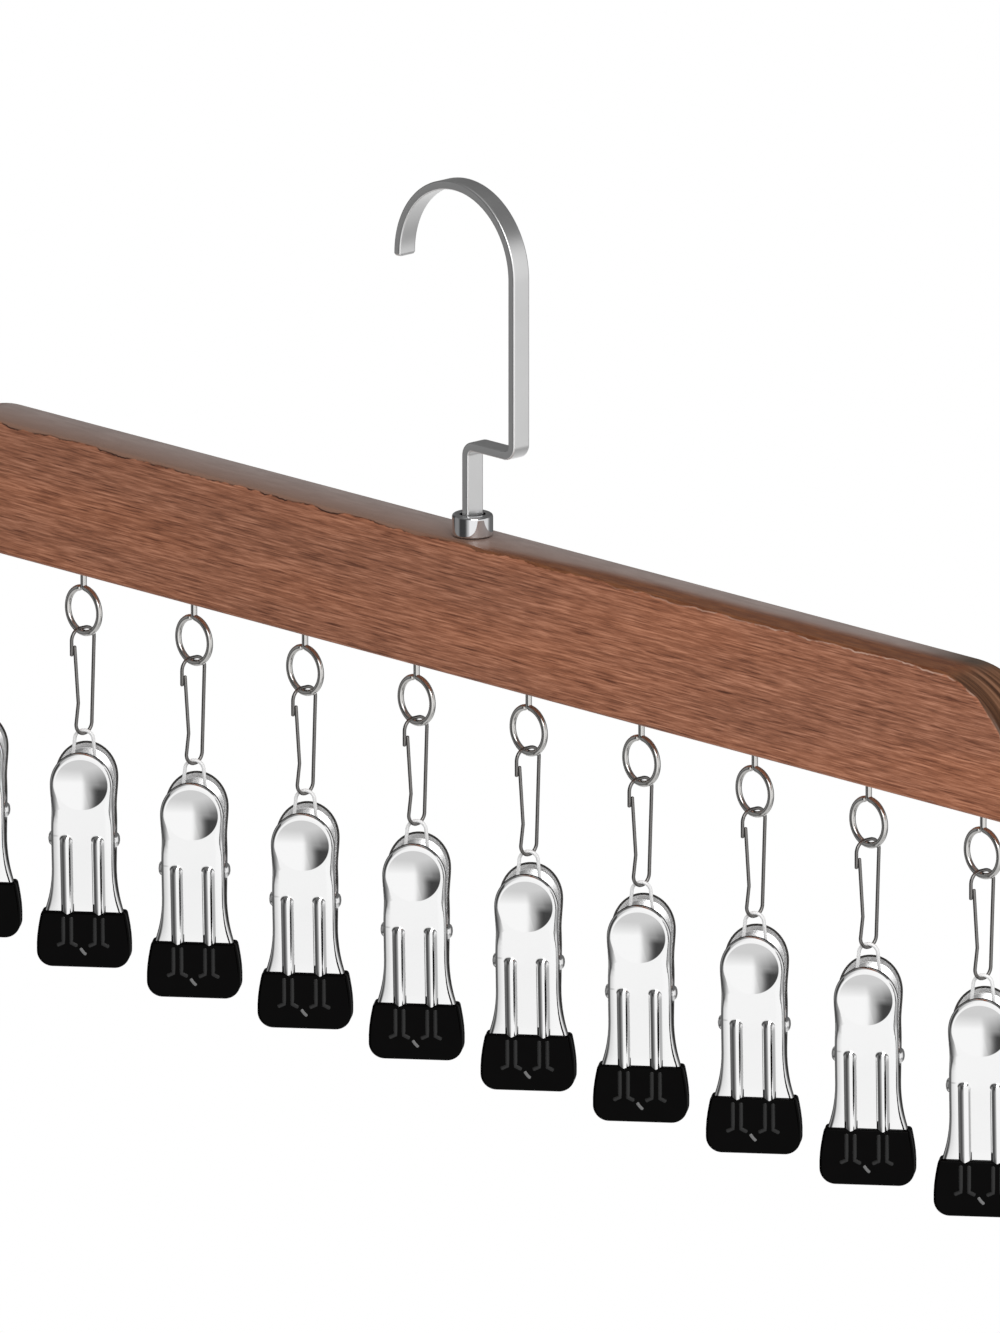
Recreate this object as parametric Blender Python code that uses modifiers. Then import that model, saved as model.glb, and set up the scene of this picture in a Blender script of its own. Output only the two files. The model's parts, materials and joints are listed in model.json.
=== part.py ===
"""A wooden trouser and sock hanger: a swivelling flat-strip hook, a hardwood bar and ten sprung clips on wire links."""

import math

import bmesh
import bpy
from mathutils import Matrix, Vector

OBJECT_NAME = "multi_clip_hanger"
MERGE = 0.00001
OVERRUN = 0.002
GAP = 0.0003
BITE = 0.00015

# Bar
BAR_LENGTH = 0.450
BAR_HEIGHT = 0.038
BAR_THICKNESS = 0.018
BAR_SHOULDER_RADIUS = 0.033
BAR_FOOT_RADIUS = 0.005
BAR_EDGE_RADIUS = 0.0016
CLIP_COUNT = 10
CLIP_END_MARGIN = 0.0225

# Hook: a flat strip that jogs sideways, so that the rail seat lies over the bar
STRIP_WIDTH = 0.006
STRIP_THICKNESS = 0.0025
STRIP_CHAMFER = 0.0004
STRIP_BEND_RADIUS = 0.0030
HOOK_INNER_RADIUS = 0.0216
HOOK_JOG = 0.0185
HOOK_JOG_HEIGHT = 0.0196
HOOK_RISE = 0.0904
HOOK_TIP_DROP = 0.0008
STEM_RADIUS = 0.0020
STEM_THREAD_END = 0.0012

# Ferrule: a collar with a spigot that lines the bar's bore
FERRULE_RADIUS = 0.00565
FERRULE_HEIGHT = 0.0062
FERRULE_RIM_RADIUS = 0.0010
FERRULE_CUP_DEPTH = 0.0052
FERRULE_SPIGOT_WALL = 0.0012
FERRULE_SPIGOT_LENGTH = 0.0080

# Nut and washer under the bar
NUT_ACROSS_FLATS = 0.0070
NUT_HEIGHT = 0.0032
WASHER_RADIUS = 0.0045
WASHER_THICKNESS = 0.0008
COUNTERBORE_RADIUS = 0.0055
COUNTERBORE_DEPTH = 0.0065

# Screw eyes
EYE_RADIUS = 0.0064
EYE_WIRE_RADIUS = 0.0009
EYE_SHANK_RADIUS = 0.0010
EYE_SHANK_LENGTH = 0.0055

# Link: one wire bent to a long loop, its ends side by side at the front
LINK_WIRE_RADIUS = 0.0005
LINK_TOP_RADIUS = 0.0042
LINK_BOTTOM_RADIUS = 0.00295
LINK_LENGTH = 0.0304
LINK_OFFSET = 0.00035
LINK_STUB_LENGTH = 0.0030
LINK_KINK_DEPTH = 0.0198
LINK_KINK_INSET = 0.0021
LINK_END_DEPTH = 0.0034

# Bail: a closed loop from the link through the spring's coil
BAIL_WIRE_RADIUS = 0.0005
BAIL_TOP_RADIUS = 0.0026
BAIL_FOOT_HALF_WIDTH = 0.0052
BAIL_CORNER_RADIUS = 0.0010

# Clip plates: sheet metal, two mirror halves that turn on each other's ears
CLIP_TURN_DEGREES = 40
PLATE_DROP = 0.0033
SHEET = 0.0006
PLATE_HEIGHT = 0.0609
PIVOT_DEPTH = 0.0263
WAIST_ABOVE_PIVOT = 0.0091
TAB_RADIUS = 0.0084
WAIST_HALF_WIDTH = 0.0075
BODY_HALF_WIDTH = 0.0087
FLANGE_DEPTH = 0.0016
FLANGE_END_DEPTH = 0.0011
FOOT_HEIGHT = 0.0145
MOUTH_HALF_WIDTH = 0.0106
FOOT_HALF_WIDTH = 0.0116
FOOT_CORNER_RADIUS = 0.0034
TAB_SPREAD = 0.0075
PIVOT_SPREAD = 0.0046
FOOT_SPREAD = 0.0020
DIMPLE_RADIUS = 0.00735
DIMPLE_DEPTH = 0.0013
DIMPLE_CENTRE_DEPTH = 0.0092
DIMPLE_LIP = 0.0004
RIB_OFFSET = 0.0044
RIB_HALF_WIDTH = 0.0018
RIB_RISE = 0.0008
RIB_ABOVE_PIVOT = 0.0025
EAR_RADIUS = 0.0026
EAR_ROOT_HALF_WIDTH = 0.0042
BOSS_RADIUS = 0.0012
BOSS_PROUD = 0.0014

# Grips: rubber sleeves over the plates' feet
GRIP_TOP_HALF_WIDTH = 0.0117
GRIP_HALF_WIDTH = 0.0130
GRIP_WIDEST_SHARE = 0.58
GRIP_TOE = 0.0015
GRIP_CORNER_RADIUS = 0.0044
GRIP_WALL = 0.0008
GRIP_CHAMFER = 0.0006

# Torsion spring
SPRING_WIRE_RADIUS = 0.00045
SPRING_COIL_RADIUS = 0.00265
SPRING_PITCH = 0.0015
SPRING_HALF_TURNS_SHARE = 1.25
SPRING_LEG_LENGTH = 0.0100
SPRING_REST_LENGTH = 0.0020

# Steps round a circle
EYE_STEPS = 12
ARC_STEPS = 6
ROUND_STEPS = 18
STEM_STEPS = 12
BEND_STEPS = 4
SHANK_STEPS = 6
BOSS_STEPS = 6
DIMPLE_STEPS = 10
COIL_STEPS = 8

# Places that follow from the sizes above
STRIP_CENTRE_RADIUS = HOOK_INNER_RADIUS + STRIP_THICKNESS / 2
STEM_X = STRIP_CENTRE_RADIUS - HOOK_JOG
FERRULE_TOP = -HOOK_RISE
BAR_TOP = FERRULE_TOP - FERRULE_HEIGHT
BAR_BOTTOM = BAR_TOP - BAR_HEIGHT
CLIP_PITCH = (BAR_LENGTH - 2 * CLIP_END_MARGIN) / (CLIP_COUNT - 1)
EYE_CENTRE = -EYE_SHANK_LENGTH - EYE_WIRE_RADIUS - EYE_RADIUS
HANG_DEPTH = EYE_CENTRE - EYE_RADIUS
LINK_TOP = EYE_WIRE_RADIUS + GAP + LINK_WIRE_RADIUS
LINK_BOTTOM = LINK_TOP - LINK_LENGTH
PLATE_TOP = LINK_BOTTOM - LINK_WIRE_RADIUS - PLATE_DROP
PIVOT_BELOW_HANG = PLATE_TOP - PIVOT_DEPTH
WAIST_DEPTH = PIVOT_DEPTH - WAIST_ABOVE_PIVOT
RIB_TOP_DEPTH = PIVOT_DEPTH - RIB_ABOVE_PIVOT
MOUTH_DEPTH = PLATE_HEIGHT - FOOT_HEIGHT
GRIP_TOP_DEPTH = MOUTH_DEPTH + GAP
GRIP_BOTTOM_DEPTH = PLATE_HEIGHT + GRIP_TOE
GRIP_WIDEST_DEPTH = GRIP_TOP_DEPTH + (GRIP_BOTTOM_DEPTH - GRIP_TOP_DEPTH) * GRIP_WIDEST_SHARE
BAIL_TOP = LINK_BOTTOM + LINK_WIRE_RADIUS + BAIL_WIRE_RADIUS - BITE
SPRING_BORE = SPRING_COIL_RADIUS - SPRING_WIRE_RADIUS
BAIL_CROSSING = PIVOT_BELOW_HANG + SPRING_BORE - GAP - BAIL_WIRE_RADIUS
CUP_RADIUS = math.hypot(STRIP_WIDTH, STRIP_THICKNESS) / 2 + GAP
STEM_BORE_RADIUS = STEM_RADIUS + GAP
SPIGOT_RADIUS = STEM_BORE_RADIUS + FERRULE_SPIGOT_WALL


def clear_scene():
    for old in list(bpy.data.objects):
        bpy.data.objects.remove(old, do_unlink=True)


def new_collection(name, helper=False):
    collection = bpy.data.collections.new(name)
    bpy.context.scene.collection.children.link(collection)
    collection.hide_render = helper
    return collection


def new_material(name, colour, metallic, roughness):
    material = bpy.data.materials.new(name)
    material.use_nodes = True
    shader = material.node_tree.nodes["Principled BSDF"]
    shader.inputs["Base Color"].default_value = (*colour, 1)
    shader.inputs["Metallic"].default_value = metallic
    shader.inputs["Roughness"].default_value = roughness
    material.diffuse_color = (*colour, 1)
    return material


def put(name, mesh, collection):
    placed = bpy.data.objects.new(name, mesh)
    collection.objects.link(placed)
    return placed


def mesh_of(edit, name):
    mesh = bpy.data.meshes.new(name)
    edit.to_mesh(mesh)
    edit.free()
    return mesh


def baked(source, name):
    """The mesh of an object with its modifiers, its loose caps welded and its faces outward."""
    bpy.context.view_layer.update()
    graph = bpy.context.evaluated_depsgraph_get()
    mesh = bpy.data.meshes.new_from_object(source.evaluated_get(graph))
    mesh.name = name
    edit = bmesh.new()
    edit.from_mesh(mesh)
    bmesh.ops.remove_doubles(edit, verts=edit.verts, dist=MERGE)
    bmesh.ops.recalc_face_normals(edit, faces=edit.faces)
    edit.to_mesh(mesh)
    edit.free()
    return mesh


def curve_mesh(name, points, collection, cyclic, setup):
    """A curve object through the points, made a mesh. setup sets its bevel or its fill."""
    data = bpy.data.curves.new(name, "CURVE")
    setup(data)
    spline = data.splines.new("POLY")
    spline.points.add(len(points) - 1)
    for point, place in zip(spline.points, points):
        point.co = (*place[:3], 1)
        point.radius = place[3] if len(place) > 3 else 1
    spline.use_cyclic_u = cyclic
    curve = bpy.data.objects.new(name, data)
    collection.objects.link(curve)
    mesh = baked(curve, name)
    bpy.data.objects.remove(curve, do_unlink=True)
    bpy.data.curves.remove(data)
    return mesh


def wire_mesh(name, points, radius, collection, cyclic=False):
    def setup(data):
        data.dimensions = "3D"
        data.bevel_depth = radius
        data.bevel_resolution = 1
        data.use_fill_caps = True

    return curve_mesh(name, points, collection, cyclic, setup)


def flat_mesh(name, outline, thickness, collection):
    """A flat outline in XY, thickened both ways along Z."""

    def setup(data):
        data.dimensions = "2D"
        data.fill_mode = "BOTH"
        data.extrude = thickness / 2

    return curve_mesh(name, [(x, y, 0) for x, y in outline], collection, True, setup)


def arc(centre, radius, start, end, steps):
    """Points of an arc in a plane, from one angle to another, in degrees."""
    angles = [math.radians(start + (end - start) * i / steps) for i in range(steps + 1)]
    return [
        (centre[0] + radius * math.cos(a), centre[1] + radius * math.sin(a)) for a in angles
    ]


def turned_mesh(name, profile, steps, collection):
    """A solid of revolution about Z. The profile runs down the outer side and back up the inner one."""
    edit = bmesh.new()
    corners = [edit.verts.new((radius, 0, height)) for radius, height in profile]
    ends = corners[1:] + ([corners[0]] if profile[0][0] > 0 else [])
    for first, second in zip(corners, ends):
        edit.edges.new((first, second))
    turned = put(name, mesh_of(edit, name), collection)
    screw = turned.modifiers.new("turn", "SCREW")
    screw.steps = steps
    screw.render_steps = steps
    screw.use_merge_vertices = True
    screw.merge_threshold = MERGE
    mesh = baked(turned, name)
    bpy.data.objects.remove(turned, do_unlink=True)
    return mesh


def cylinder_mesh(name, radius, bottom, top, steps):
    edit = bmesh.new()
    bmesh.ops.create_cone(
        edit, cap_ends=True, segments=steps, radius1=radius, radius2=radius, depth=top - bottom
    )
    bmesh.ops.translate(edit, verts=edit.verts, vec=(0, 0, (top + bottom) / 2))
    return mesh_of(edit, name)


def transformed(mesh, matrix):
    mesh.transform(matrix)
    if matrix.determinant() < 0:
        mesh.flip_normals()
    return mesh


def helper(name, mesh, collection):
    placed = put(name, mesh, collection)
    placed.hide_render = True
    placed.display_type = "WIRE"
    return placed


def combine(target, other, operation):
    change = target.modifiers.new(f"{operation.lower()} {other.name}", "BOOLEAN")
    change.operation = operation
    change.solver = "EXACT"
    change.object = other


def combined_mesh(name, base, changes, collection):
    """One mesh from a base and a list of (operation, mesh)."""
    body = helper(name, base, collection)
    tools = []
    for number, (operation, mesh) in enumerate(changes):
        tool = helper(f"{name}_tool_{number}", mesh, collection)
        combine(body, tool, operation)
        tools.append(tool)
    mesh = baked(body, name)
    for used in [body, *tools]:
        bpy.data.objects.remove(used, do_unlink=True)
    return mesh


def smooth(mesh, degrees):
    mesh.shade_smooth()
    mesh.set_sharp_from_angle(angle=math.radians(degrees))


def add_bevel(target, width, segments):
    bevel = target.modifiers.new("edges", "BEVEL")
    bevel.width = width
    bevel.segments = segments
    bevel.limit_method = "ANGLE"
    bevel.angle_limit = math.radians(60)


def bevelled_mesh(name, mesh, width, segments, collection):
    body = helper(name, mesh, collection)
    add_bevel(body, width, segments)
    result = baked(body, name)
    bpy.data.objects.remove(body, do_unlink=True)
    return result


def screw_eye_mesh(helpers):
    """A ring in the XZ plane under the bar, with its shank screwed in."""
    bpy.ops.mesh.primitive_torus_add(
        major_segments=EYE_STEPS,
        minor_segments=ARC_STEPS,
        major_radius=EYE_RADIUS,
        minor_radius=EYE_WIRE_RADIUS,
    )
    made = bpy.context.object
    ring = made.data
    bpy.data.objects.remove(made, do_unlink=True)
    transformed(ring, Matrix.Translation((0, 0, EYE_CENTRE)) @ Matrix.Rotation(math.pi / 2, 4, "X"))
    shank = cylinder_mesh(
        "shank", EYE_SHANK_RADIUS, EYE_CENTRE + EYE_RADIUS, OVERRUN, SHANK_STEPS
    )
    return combined_mesh("screw_eye", ring, [("UNION", shank)], helpers)


def clip_places():
    """X of each screw eye from the stem's axis."""
    middle = (CLIP_COUNT - 1) / 2
    return [(number - middle) * CLIP_PITCH for number in range(CLIP_COUNT)]


def bar_mesh(helpers):
    """The bar from its bottom face up, with the stem's bore and the screw eyes that it carries."""
    end = BAR_LENGTH / 2
    shoulder = end - BAR_SHOULDER_RADIUS
    foot = end - BAR_FOOT_RADIUS
    shoulder_height = BAR_HEIGHT - BAR_SHOULDER_RADIUS
    outline = arc((foot, BAR_FOOT_RADIUS), BAR_FOOT_RADIUS, -90, 0, 2)
    outline += arc((shoulder, shoulder_height), BAR_SHOULDER_RADIUS, 0, 90, ARC_STEPS)[1:]
    outline += [(-x, z) for x, z in reversed(outline)]
    blank = flat_mesh("bar_blank", outline, BAR_THICKNESS, helpers)
    transformed(blank, Matrix.Rotation(math.pi / 2, 4, "X"))
    blank = bevelled_mesh("bar_blank", blank, BAR_EDGE_RADIUS, 1, helpers)
    spigot_seat = BAR_HEIGHT - FERRULE_SPIGOT_LENGTH - GAP
    bore = turned_mesh(
        "bore",
        [
            (0, BAR_HEIGHT + OVERRUN),
            (SPIGOT_RADIUS + GAP, BAR_HEIGHT + OVERRUN),
            (SPIGOT_RADIUS + GAP, spigot_seat),
            (STEM_BORE_RADIUS, spigot_seat),
            (STEM_BORE_RADIUS, COUNTERBORE_DEPTH),
            (COUNTERBORE_RADIUS, COUNTERBORE_DEPTH),
            (COUNTERBORE_RADIUS, -OVERRUN),
            (0, -OVERRUN),
        ],
        ROUND_STEPS,
        helpers,
    )
    eye = screw_eye_mesh(helpers)
    changes = [("DIFFERENCE", bore)]
    for place in clip_places():
        changes.append(("UNION", transformed(eye.copy(), Matrix.Translation((place, 0, 0)))))
    return combined_mesh("bar", blank, changes, helpers)


def ferrule_mesh(helpers):
    """A turned collar on the bar's top face. Its cup takes the strip's end, and its spigot lines the bore."""
    rim = arc(
        (FERRULE_RADIUS - FERRULE_RIM_RADIUS, FERRULE_HEIGHT - FERRULE_RIM_RADIUS),
        FERRULE_RIM_RADIUS,
        90,
        0,
        2,
    )
    profile = [
        *rim,
        (FERRULE_RADIUS, GAP),
        (SPIGOT_RADIUS, GAP),
        (SPIGOT_RADIUS, -FERRULE_SPIGOT_LENGTH),
        (STEM_BORE_RADIUS, -FERRULE_SPIGOT_LENGTH),
        (STEM_BORE_RADIUS, FERRULE_HEIGHT - FERRULE_CUP_DEPTH),
        (CUP_RADIUS, FERRULE_HEIGHT - FERRULE_CUP_DEPTH),
        (CUP_RADIUS, FERRULE_HEIGHT),
    ]
    return turned_mesh("ferrule", profile, ROUND_STEPS, helpers)


def hook_path():
    """Centreline of the strip in XZ, from its foot in the ferrule to its tip."""
    foot = FERRULE_TOP - FERRULE_CUP_DEPTH + GAP
    jog = FERRULE_TOP + HOOK_JOG_HEIGHT
    bend = STRIP_BEND_RADIUS
    upright = STEM_X + HOOK_JOG
    arch = -STRIP_CENTRE_RADIUS + STRIP_THICKNESS / 2
    path = [(STEM_X, foot)]
    path += arc((STEM_X + bend, jog - bend), bend, 180, 90, 3)
    path += arc((upright - bend, jog + bend), bend, -90, 0, 3)
    path += arc((0, arch), STRIP_CENTRE_RADIUS, 0, 180, ROUND_STEPS - 2)
    path += [(-STRIP_CENTRE_RADIUS, arch - HOOK_TIP_DROP)]
    return path


def strip_outline(path, thickness):
    """The two sides of a bent strip, half its thickness to each side of its centreline."""
    places = [Vector(place) for place in path]
    left, right = [], []
    for number, place in enumerate(places):
        before = places[max(number - 1, 0)]
        after = places[min(number + 1, len(places) - 1)]
        along = (after - before).normalized()
        side = Vector((-along.y, along.x)) * thickness / 2
        left.append(tuple(place + side))
        right.append(tuple(place - side))
    return left + right[::-1]


def hook_mesh(helpers):
    strip = flat_mesh("strip", strip_outline(hook_path(), STRIP_THICKNESS), STRIP_WIDTH, helpers)
    transformed(strip, Matrix.Rotation(math.pi / 2, 4, "X"))
    strip = bevelled_mesh("strip", strip, STRIP_CHAMFER, 1, helpers)
    stem_end = BAR_BOTTOM + STEM_THREAD_END
    stem_top = FERRULE_TOP - FERRULE_CUP_DEPTH + OVERRUN
    stem = cylinder_mesh("stem", STEM_RADIUS, stem_end, stem_top, STEM_STEPS)
    transformed(stem, Matrix.Translation((STEM_X, 0, 0)))
    return combined_mesh("hook", strip, [("UNION", stem)], helpers)


def ring_profile(outer, inner, bottom, top):
    return [(outer, top), (outer, bottom), (inner, bottom), (inner, top)]


def washer_mesh(helpers):
    top = COUNTERBORE_DEPTH - GAP
    profile = ring_profile(WASHER_RADIUS, STEM_BORE_RADIUS, top - WASHER_THICKNESS, top)
    return turned_mesh("hook_washer", profile, ROUND_STEPS, helpers)


def nut_mesh(helpers):
    top = COUNTERBORE_DEPTH - GAP - WASHER_THICKNESS - GAP
    corner = NUT_ACROSS_FLATS / 2 / math.cos(math.pi / 6)
    blank = cylinder_mesh("nut_blank", corner, top - NUT_HEIGHT, top, 6)
    bore = cylinder_mesh(
        "nut_bore", STEM_BORE_RADIUS, top - NUT_HEIGHT - OVERRUN, top + OVERRUN, STEM_STEPS
    )
    return combined_mesh("hook_nut", blank, [("DIFFERENCE", bore)], helpers)


def link_points():
    """The link in its own YZ plane, about the screw eye's lowest wire. -Y is the front."""
    top_centre = (-LINK_OFFSET, LINK_TOP - LINK_TOP_RADIUS)
    front = top_centre[0] - LINK_TOP_RADIUS
    bottom_centre = (0, LINK_BOTTOM + LINK_BOTTOM_RADIUS)
    beside = front + 2 * LINK_WIRE_RADIUS + GAP
    path = [(front, top_centre[1] - LINK_STUB_LENGTH)]
    path += arc(top_centre, LINK_TOP_RADIUS, 180, 0, BEND_STEPS)
    path += arc(bottom_centre, LINK_BOTTOM_RADIUS, 0, -180, BEND_STEPS)
    path += [(-LINK_KINK_INSET, -LINK_KINK_DEPTH), (beside, -LINK_END_DEPTH)]
    return [(0, y, z) for y, z in path]


def bail_points():
    """The bail in its own XZ plane, about the screw eye's lowest wire."""
    top_centre = (0, BAIL_TOP - BAIL_TOP_RADIUS)
    corner = BAIL_CORNER_RADIUS
    side = BAIL_FOOT_HALF_WIDTH - corner
    path = arc(top_centre, BAIL_TOP_RADIUS, 0, 180, BEND_STEPS)
    path += arc((-side, BAIL_CROSSING + corner), corner, 180, 270, 1)
    path += arc((side, BAIL_CROSSING + corner), corner, -90, 0, 1)
    return [(x, 0, z) for x, z in path]


def link_mesh(helpers):
    """The link and the bail that hangs in it, joined where they touch."""
    link = wire_mesh("link", link_points(), LINK_WIRE_RADIUS, helpers)
    bail = wire_mesh("bail", bail_points(), BAIL_WIRE_RADIUS, helpers, cyclic=True)
    transformed(bail, Matrix.Rotation(math.radians(CLIP_TURN_DEGREES), 4, "Z"))
    return combined_mesh("link_and_bail", link, [("UNION", bail)], helpers)


def spread(depth):
    """Distance of a plate's outer face from the clip's middle plane, at a depth below its top."""
    if depth < PIVOT_DEPTH:
        return TAB_SPREAD + (PIVOT_SPREAD - TAB_SPREAD) * depth / PIVOT_DEPTH
    if depth < MOUTH_DEPTH:
        share = (depth - PIVOT_DEPTH) / (MOUTH_DEPTH - PIVOT_DEPTH)
        return PIVOT_SPREAD + (FOOT_SPREAD - PIVOT_SPREAD) * share
    return FOOT_SPREAD


def tab_lean():
    return math.atan2(TAB_SPREAD - PIVOT_SPREAD, PIVOT_DEPTH)


def plate_rows():
    """(depth below the top, half width, flange depth) down the plate. A flange of zero is none."""
    tab = arc((0, TAB_RADIUS), TAB_RADIUS, -75, 0, 3)
    rows = [(depth - tab[0][1], half, 0) for half, depth in tab]
    rows += [
        (WAIST_DEPTH, WAIST_HALF_WIDTH, FLANGE_END_DEPTH),
        (PIVOT_DEPTH, BODY_HALF_WIDTH, FLANGE_DEPTH),
        ((PIVOT_DEPTH + MOUTH_DEPTH) / 2, BODY_HALF_WIDTH, FLANGE_DEPTH),
        (MOUTH_DEPTH, MOUTH_HALF_WIDTH, FLANGE_END_DEPTH),
    ]
    corner = (FOOT_HALF_WIDTH - FOOT_CORNER_RADIUS, PLATE_HEIGHT - FOOT_CORNER_RADIUS)
    rows += [(depth, half, 0) for half, depth in arc(corner, FOOT_CORNER_RADIUS, 0, 90, 2)]
    return rows


def plate_mesh(helpers):
    """The pressed sheet: a round tab, a waist, side flanges and a flat foot. Its front faces -Y."""
    edit = bmesh.new()
    strips = {"face": [], -1: [], 1: []}
    for depth, half, flange in plate_rows():
        z = PIVOT_DEPTH - depth
        face = -spread(depth)
        pair = [edit.verts.new((side * half, face, z)) for side in (-1, 1)]
        strips["face"].append(pair)
        if flange:
            folded = [edit.verts.new((side * half, face + flange, z)) for side in (-1, 1)]
            strips[-1].append((folded[0], pair[0]))
            strips[1].append((pair[1], folded[1]))
    for strip in strips.values():
        for upper, lower in zip(strip, strip[1:]):
            edit.faces.new((upper[0], lower[0], lower[1], upper[1]))
    sheet = helper("plate", mesh_of(edit, "plate"), helpers)
    thicken = sheet.modifiers.new("sheet", "SOLIDIFY")
    thicken.thickness = SHEET
    thicken.offset = -1
    thicken.use_even_offset = True
    mesh = baked(sheet, "plate")
    bpy.data.objects.remove(sheet, do_unlink=True)
    return mesh


def dish_mesh(name, radius, depth, helpers):
    """A shallow round bowl, to be pressed in the tab, with its rim on the tab's outer face."""
    mid_radius = radius * math.sin(math.pi / 5)
    mid_depth = depth * math.cos(math.pi / 5) ** 2
    profile = [(0, OVERRUN), (radius, OVERRUN), (radius, 0), (mid_radius, -mid_depth), (0, -depth)]
    bowl = turned_mesh(name, profile, DIMPLE_STEPS, helpers)
    place = (0, -spread(DIMPLE_CENTRE_DEPTH), PIVOT_DEPTH - DIMPLE_CENTRE_DEPTH)
    lean = Matrix.Rotation(math.pi / 2 + tab_lean(), 4, "X")
    return transformed(bowl, Matrix.Translation(place) @ lean)


def bump_mesh(helpers):
    """The back of the thumb dimple, cut level with the sheet's outer face."""
    bump = dish_mesh("bump", DIMPLE_RADIUS + DIMPLE_LIP, DIMPLE_DEPTH + SHEET, helpers)
    half = SHEET / 2
    lean = Matrix.Rotation(tab_lean(), 4, "X")
    edit = bmesh.new()
    bmesh.ops.create_cube(edit, size=1)
    bmesh.ops.scale(edit, verts=edit.verts, vec=(TAB_RADIUS * 3, TAB_RADIUS, TAB_RADIUS * 3))
    bmesh.ops.translate(edit, verts=edit.verts, vec=(0, -TAB_RADIUS / 2, 0))
    place = (0, half - spread(DIMPLE_CENTRE_DEPTH), PIVOT_DEPTH - DIMPLE_CENTRE_DEPTH)
    front = transformed(mesh_of(edit, "front"), Matrix.Translation(place) @ lean)
    return combined_mesh("bump", bump, [("DIFFERENCE", front)], helpers)


def rib_mesh(side, helpers):
    """A pressed bead down the plate to the grip's edge, rounded at its top."""
    points = [
        (0, 0, PIVOT_DEPTH - RIB_TOP_DEPTH, math.sin(math.pi / 8)),
        (0, 0, PIVOT_DEPTH - RIB_TOP_DEPTH - RIB_HALF_WIDTH, 1),
        (0, 0, 0, 1),
        (0, 0, PIVOT_DEPTH - MOUTH_DEPTH, 1),
    ]
    mesh = wire_mesh("rib", points, RIB_HALF_WIDTH, helpers)
    for corner in mesh.vertices:
        height = RIB_RISE + BITE if corner.co.y < 0 else SHEET / 2
        corner.co.x += side * RIB_OFFSET
        corner.co.y *= height / RIB_HALF_WIDTH
        corner.co.y += BITE - spread(PIVOT_DEPTH - corner.co.z)
    return mesh


def across(mesh, side, distance):
    """Turns a flat solid made in XY into the YZ plane, at a distance from the clip's middle."""
    turn = Matrix(((0, 0, 1, 0), (1, 0, 0, 0), (0, 1, 0, 0), (0, 0, 0, 1)))
    return transformed(mesh, Matrix.Translation((side * distance, 0, 0)) @ turn)


def ear_mesh(side, distance, helpers):
    """A lobe from the plate to round the pivot."""
    root = EAR_ROOT_HALF_WIDTH
    inside = SHEET / 2
    outline = arc((0, 0), EAR_RADIUS, -60, 60, 3)
    outline += [
        (inside - spread(PIVOT_DEPTH - root), root),
        (inside - spread(PIVOT_DEPTH + root), -root),
    ]
    return across(flat_mesh("ear", outline, SHEET, helpers), side, distance)


def boss_mesh(side, radius, inner, outer):
    ends = sorted((side * inner, side * outer))
    return across(cylinder_mesh("boss", radius, *ends, BOSS_STEPS), side, 0)


def spring_points():
    """Half of the torsion spring, from its middle out to the leg that lies on the tab."""
    first = GAP / 2 + SPRING_WIRE_RADIUS
    steps = round(COIL_STEPS * SPRING_HALF_TURNS_SHARE)
    points = []
    for step in range(steps + 1):
        back = (steps - step) / COIL_STEPS
        angle = math.pi + 2 * math.pi * back
        x = -first - SPRING_PITCH * step / COIL_STEPS
        y = SPRING_COIL_RADIUS * math.cos(angle)
        z = SPRING_COIL_RADIUS * math.sin(angle)
        points.append((x, y, z))
    x = points[-1][0]
    for height in (SPRING_LEG_LENGTH - SPRING_REST_LENGTH, SPRING_LEG_LENGTH):
        inner_face = SHEET / math.cos(tab_lean()) - spread(PIVOT_DEPTH - height)
        points.append((x, inner_face + SPRING_WIRE_RADIUS - BITE, height))
    return points


def least_self_gap(points, radius):
    """Least clear distance between stretches of a wire that aren't neighbours."""
    fine = []
    for start, end in zip(points, points[1:]):
        fine += [Vector(start).lerp(Vector(end), part / 4) for part in range(4)]
    apart = round(COIL_STEPS / 2) * 4
    pairs = ((a, b) for i, a in enumerate(fine) for b in fine[i + apart :])
    return min((a - b).length for a, b in pairs) - 2 * radius


def jaw_mesh(outer_ears, helpers):
    """A plate with its dimple, ribs, ears and half of the spring. Outer ears are pierced, inner ones have bosses."""
    outer = BODY_HALF_WIDTH - SHEET / 2
    inner = outer - SHEET - GAP
    distance = outer if outer_ears else inner
    changes = [
        ("UNION", bump_mesh(helpers)),
        ("DIFFERENCE", dish_mesh("dimple", DIMPLE_RADIUS, DIMPLE_DEPTH, helpers)),
    ]
    for side in (-1, 1):
        changes.append(("UNION", rib_mesh(side, helpers)))
        changes.append(("UNION", ear_mesh(side, distance, helpers)))
        if outer_ears:
            hole = boss_mesh(side, BOSS_RADIUS + GAP, inner, outer + OVERRUN)
            changes.append(("DIFFERENCE", hole))
        else:
            boss = boss_mesh(side, BOSS_RADIUS, inner, BODY_HALF_WIDTH + BOSS_PROUD)
            changes.append(("UNION", boss))
    spring = wire_mesh("spring_half", spring_points(), SPRING_WIRE_RADIUS, helpers)
    changes.append(("UNION", spring))
    name = "rear_jaw" if outer_ears else "front_jaw"
    mesh = combined_mesh(name, plate_mesh(helpers), changes, helpers)
    smooth(mesh, 35)
    return mesh


def grip_outline(top_half, half, corner_radius, top, widest, bottom):
    """Outline in XZ about the pivot: a slightly flared sleeve with round bottom corners."""
    corner = (half - corner_radius, PIVOT_DEPTH - bottom + corner_radius)
    right = arc(corner, corner_radius, -90, 0, 2)
    right += [(half, PIVOT_DEPTH - widest), (top_half, PIVOT_DEPTH - top)]
    return right + [(-x, z) for x, z in reversed(right)]


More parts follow.
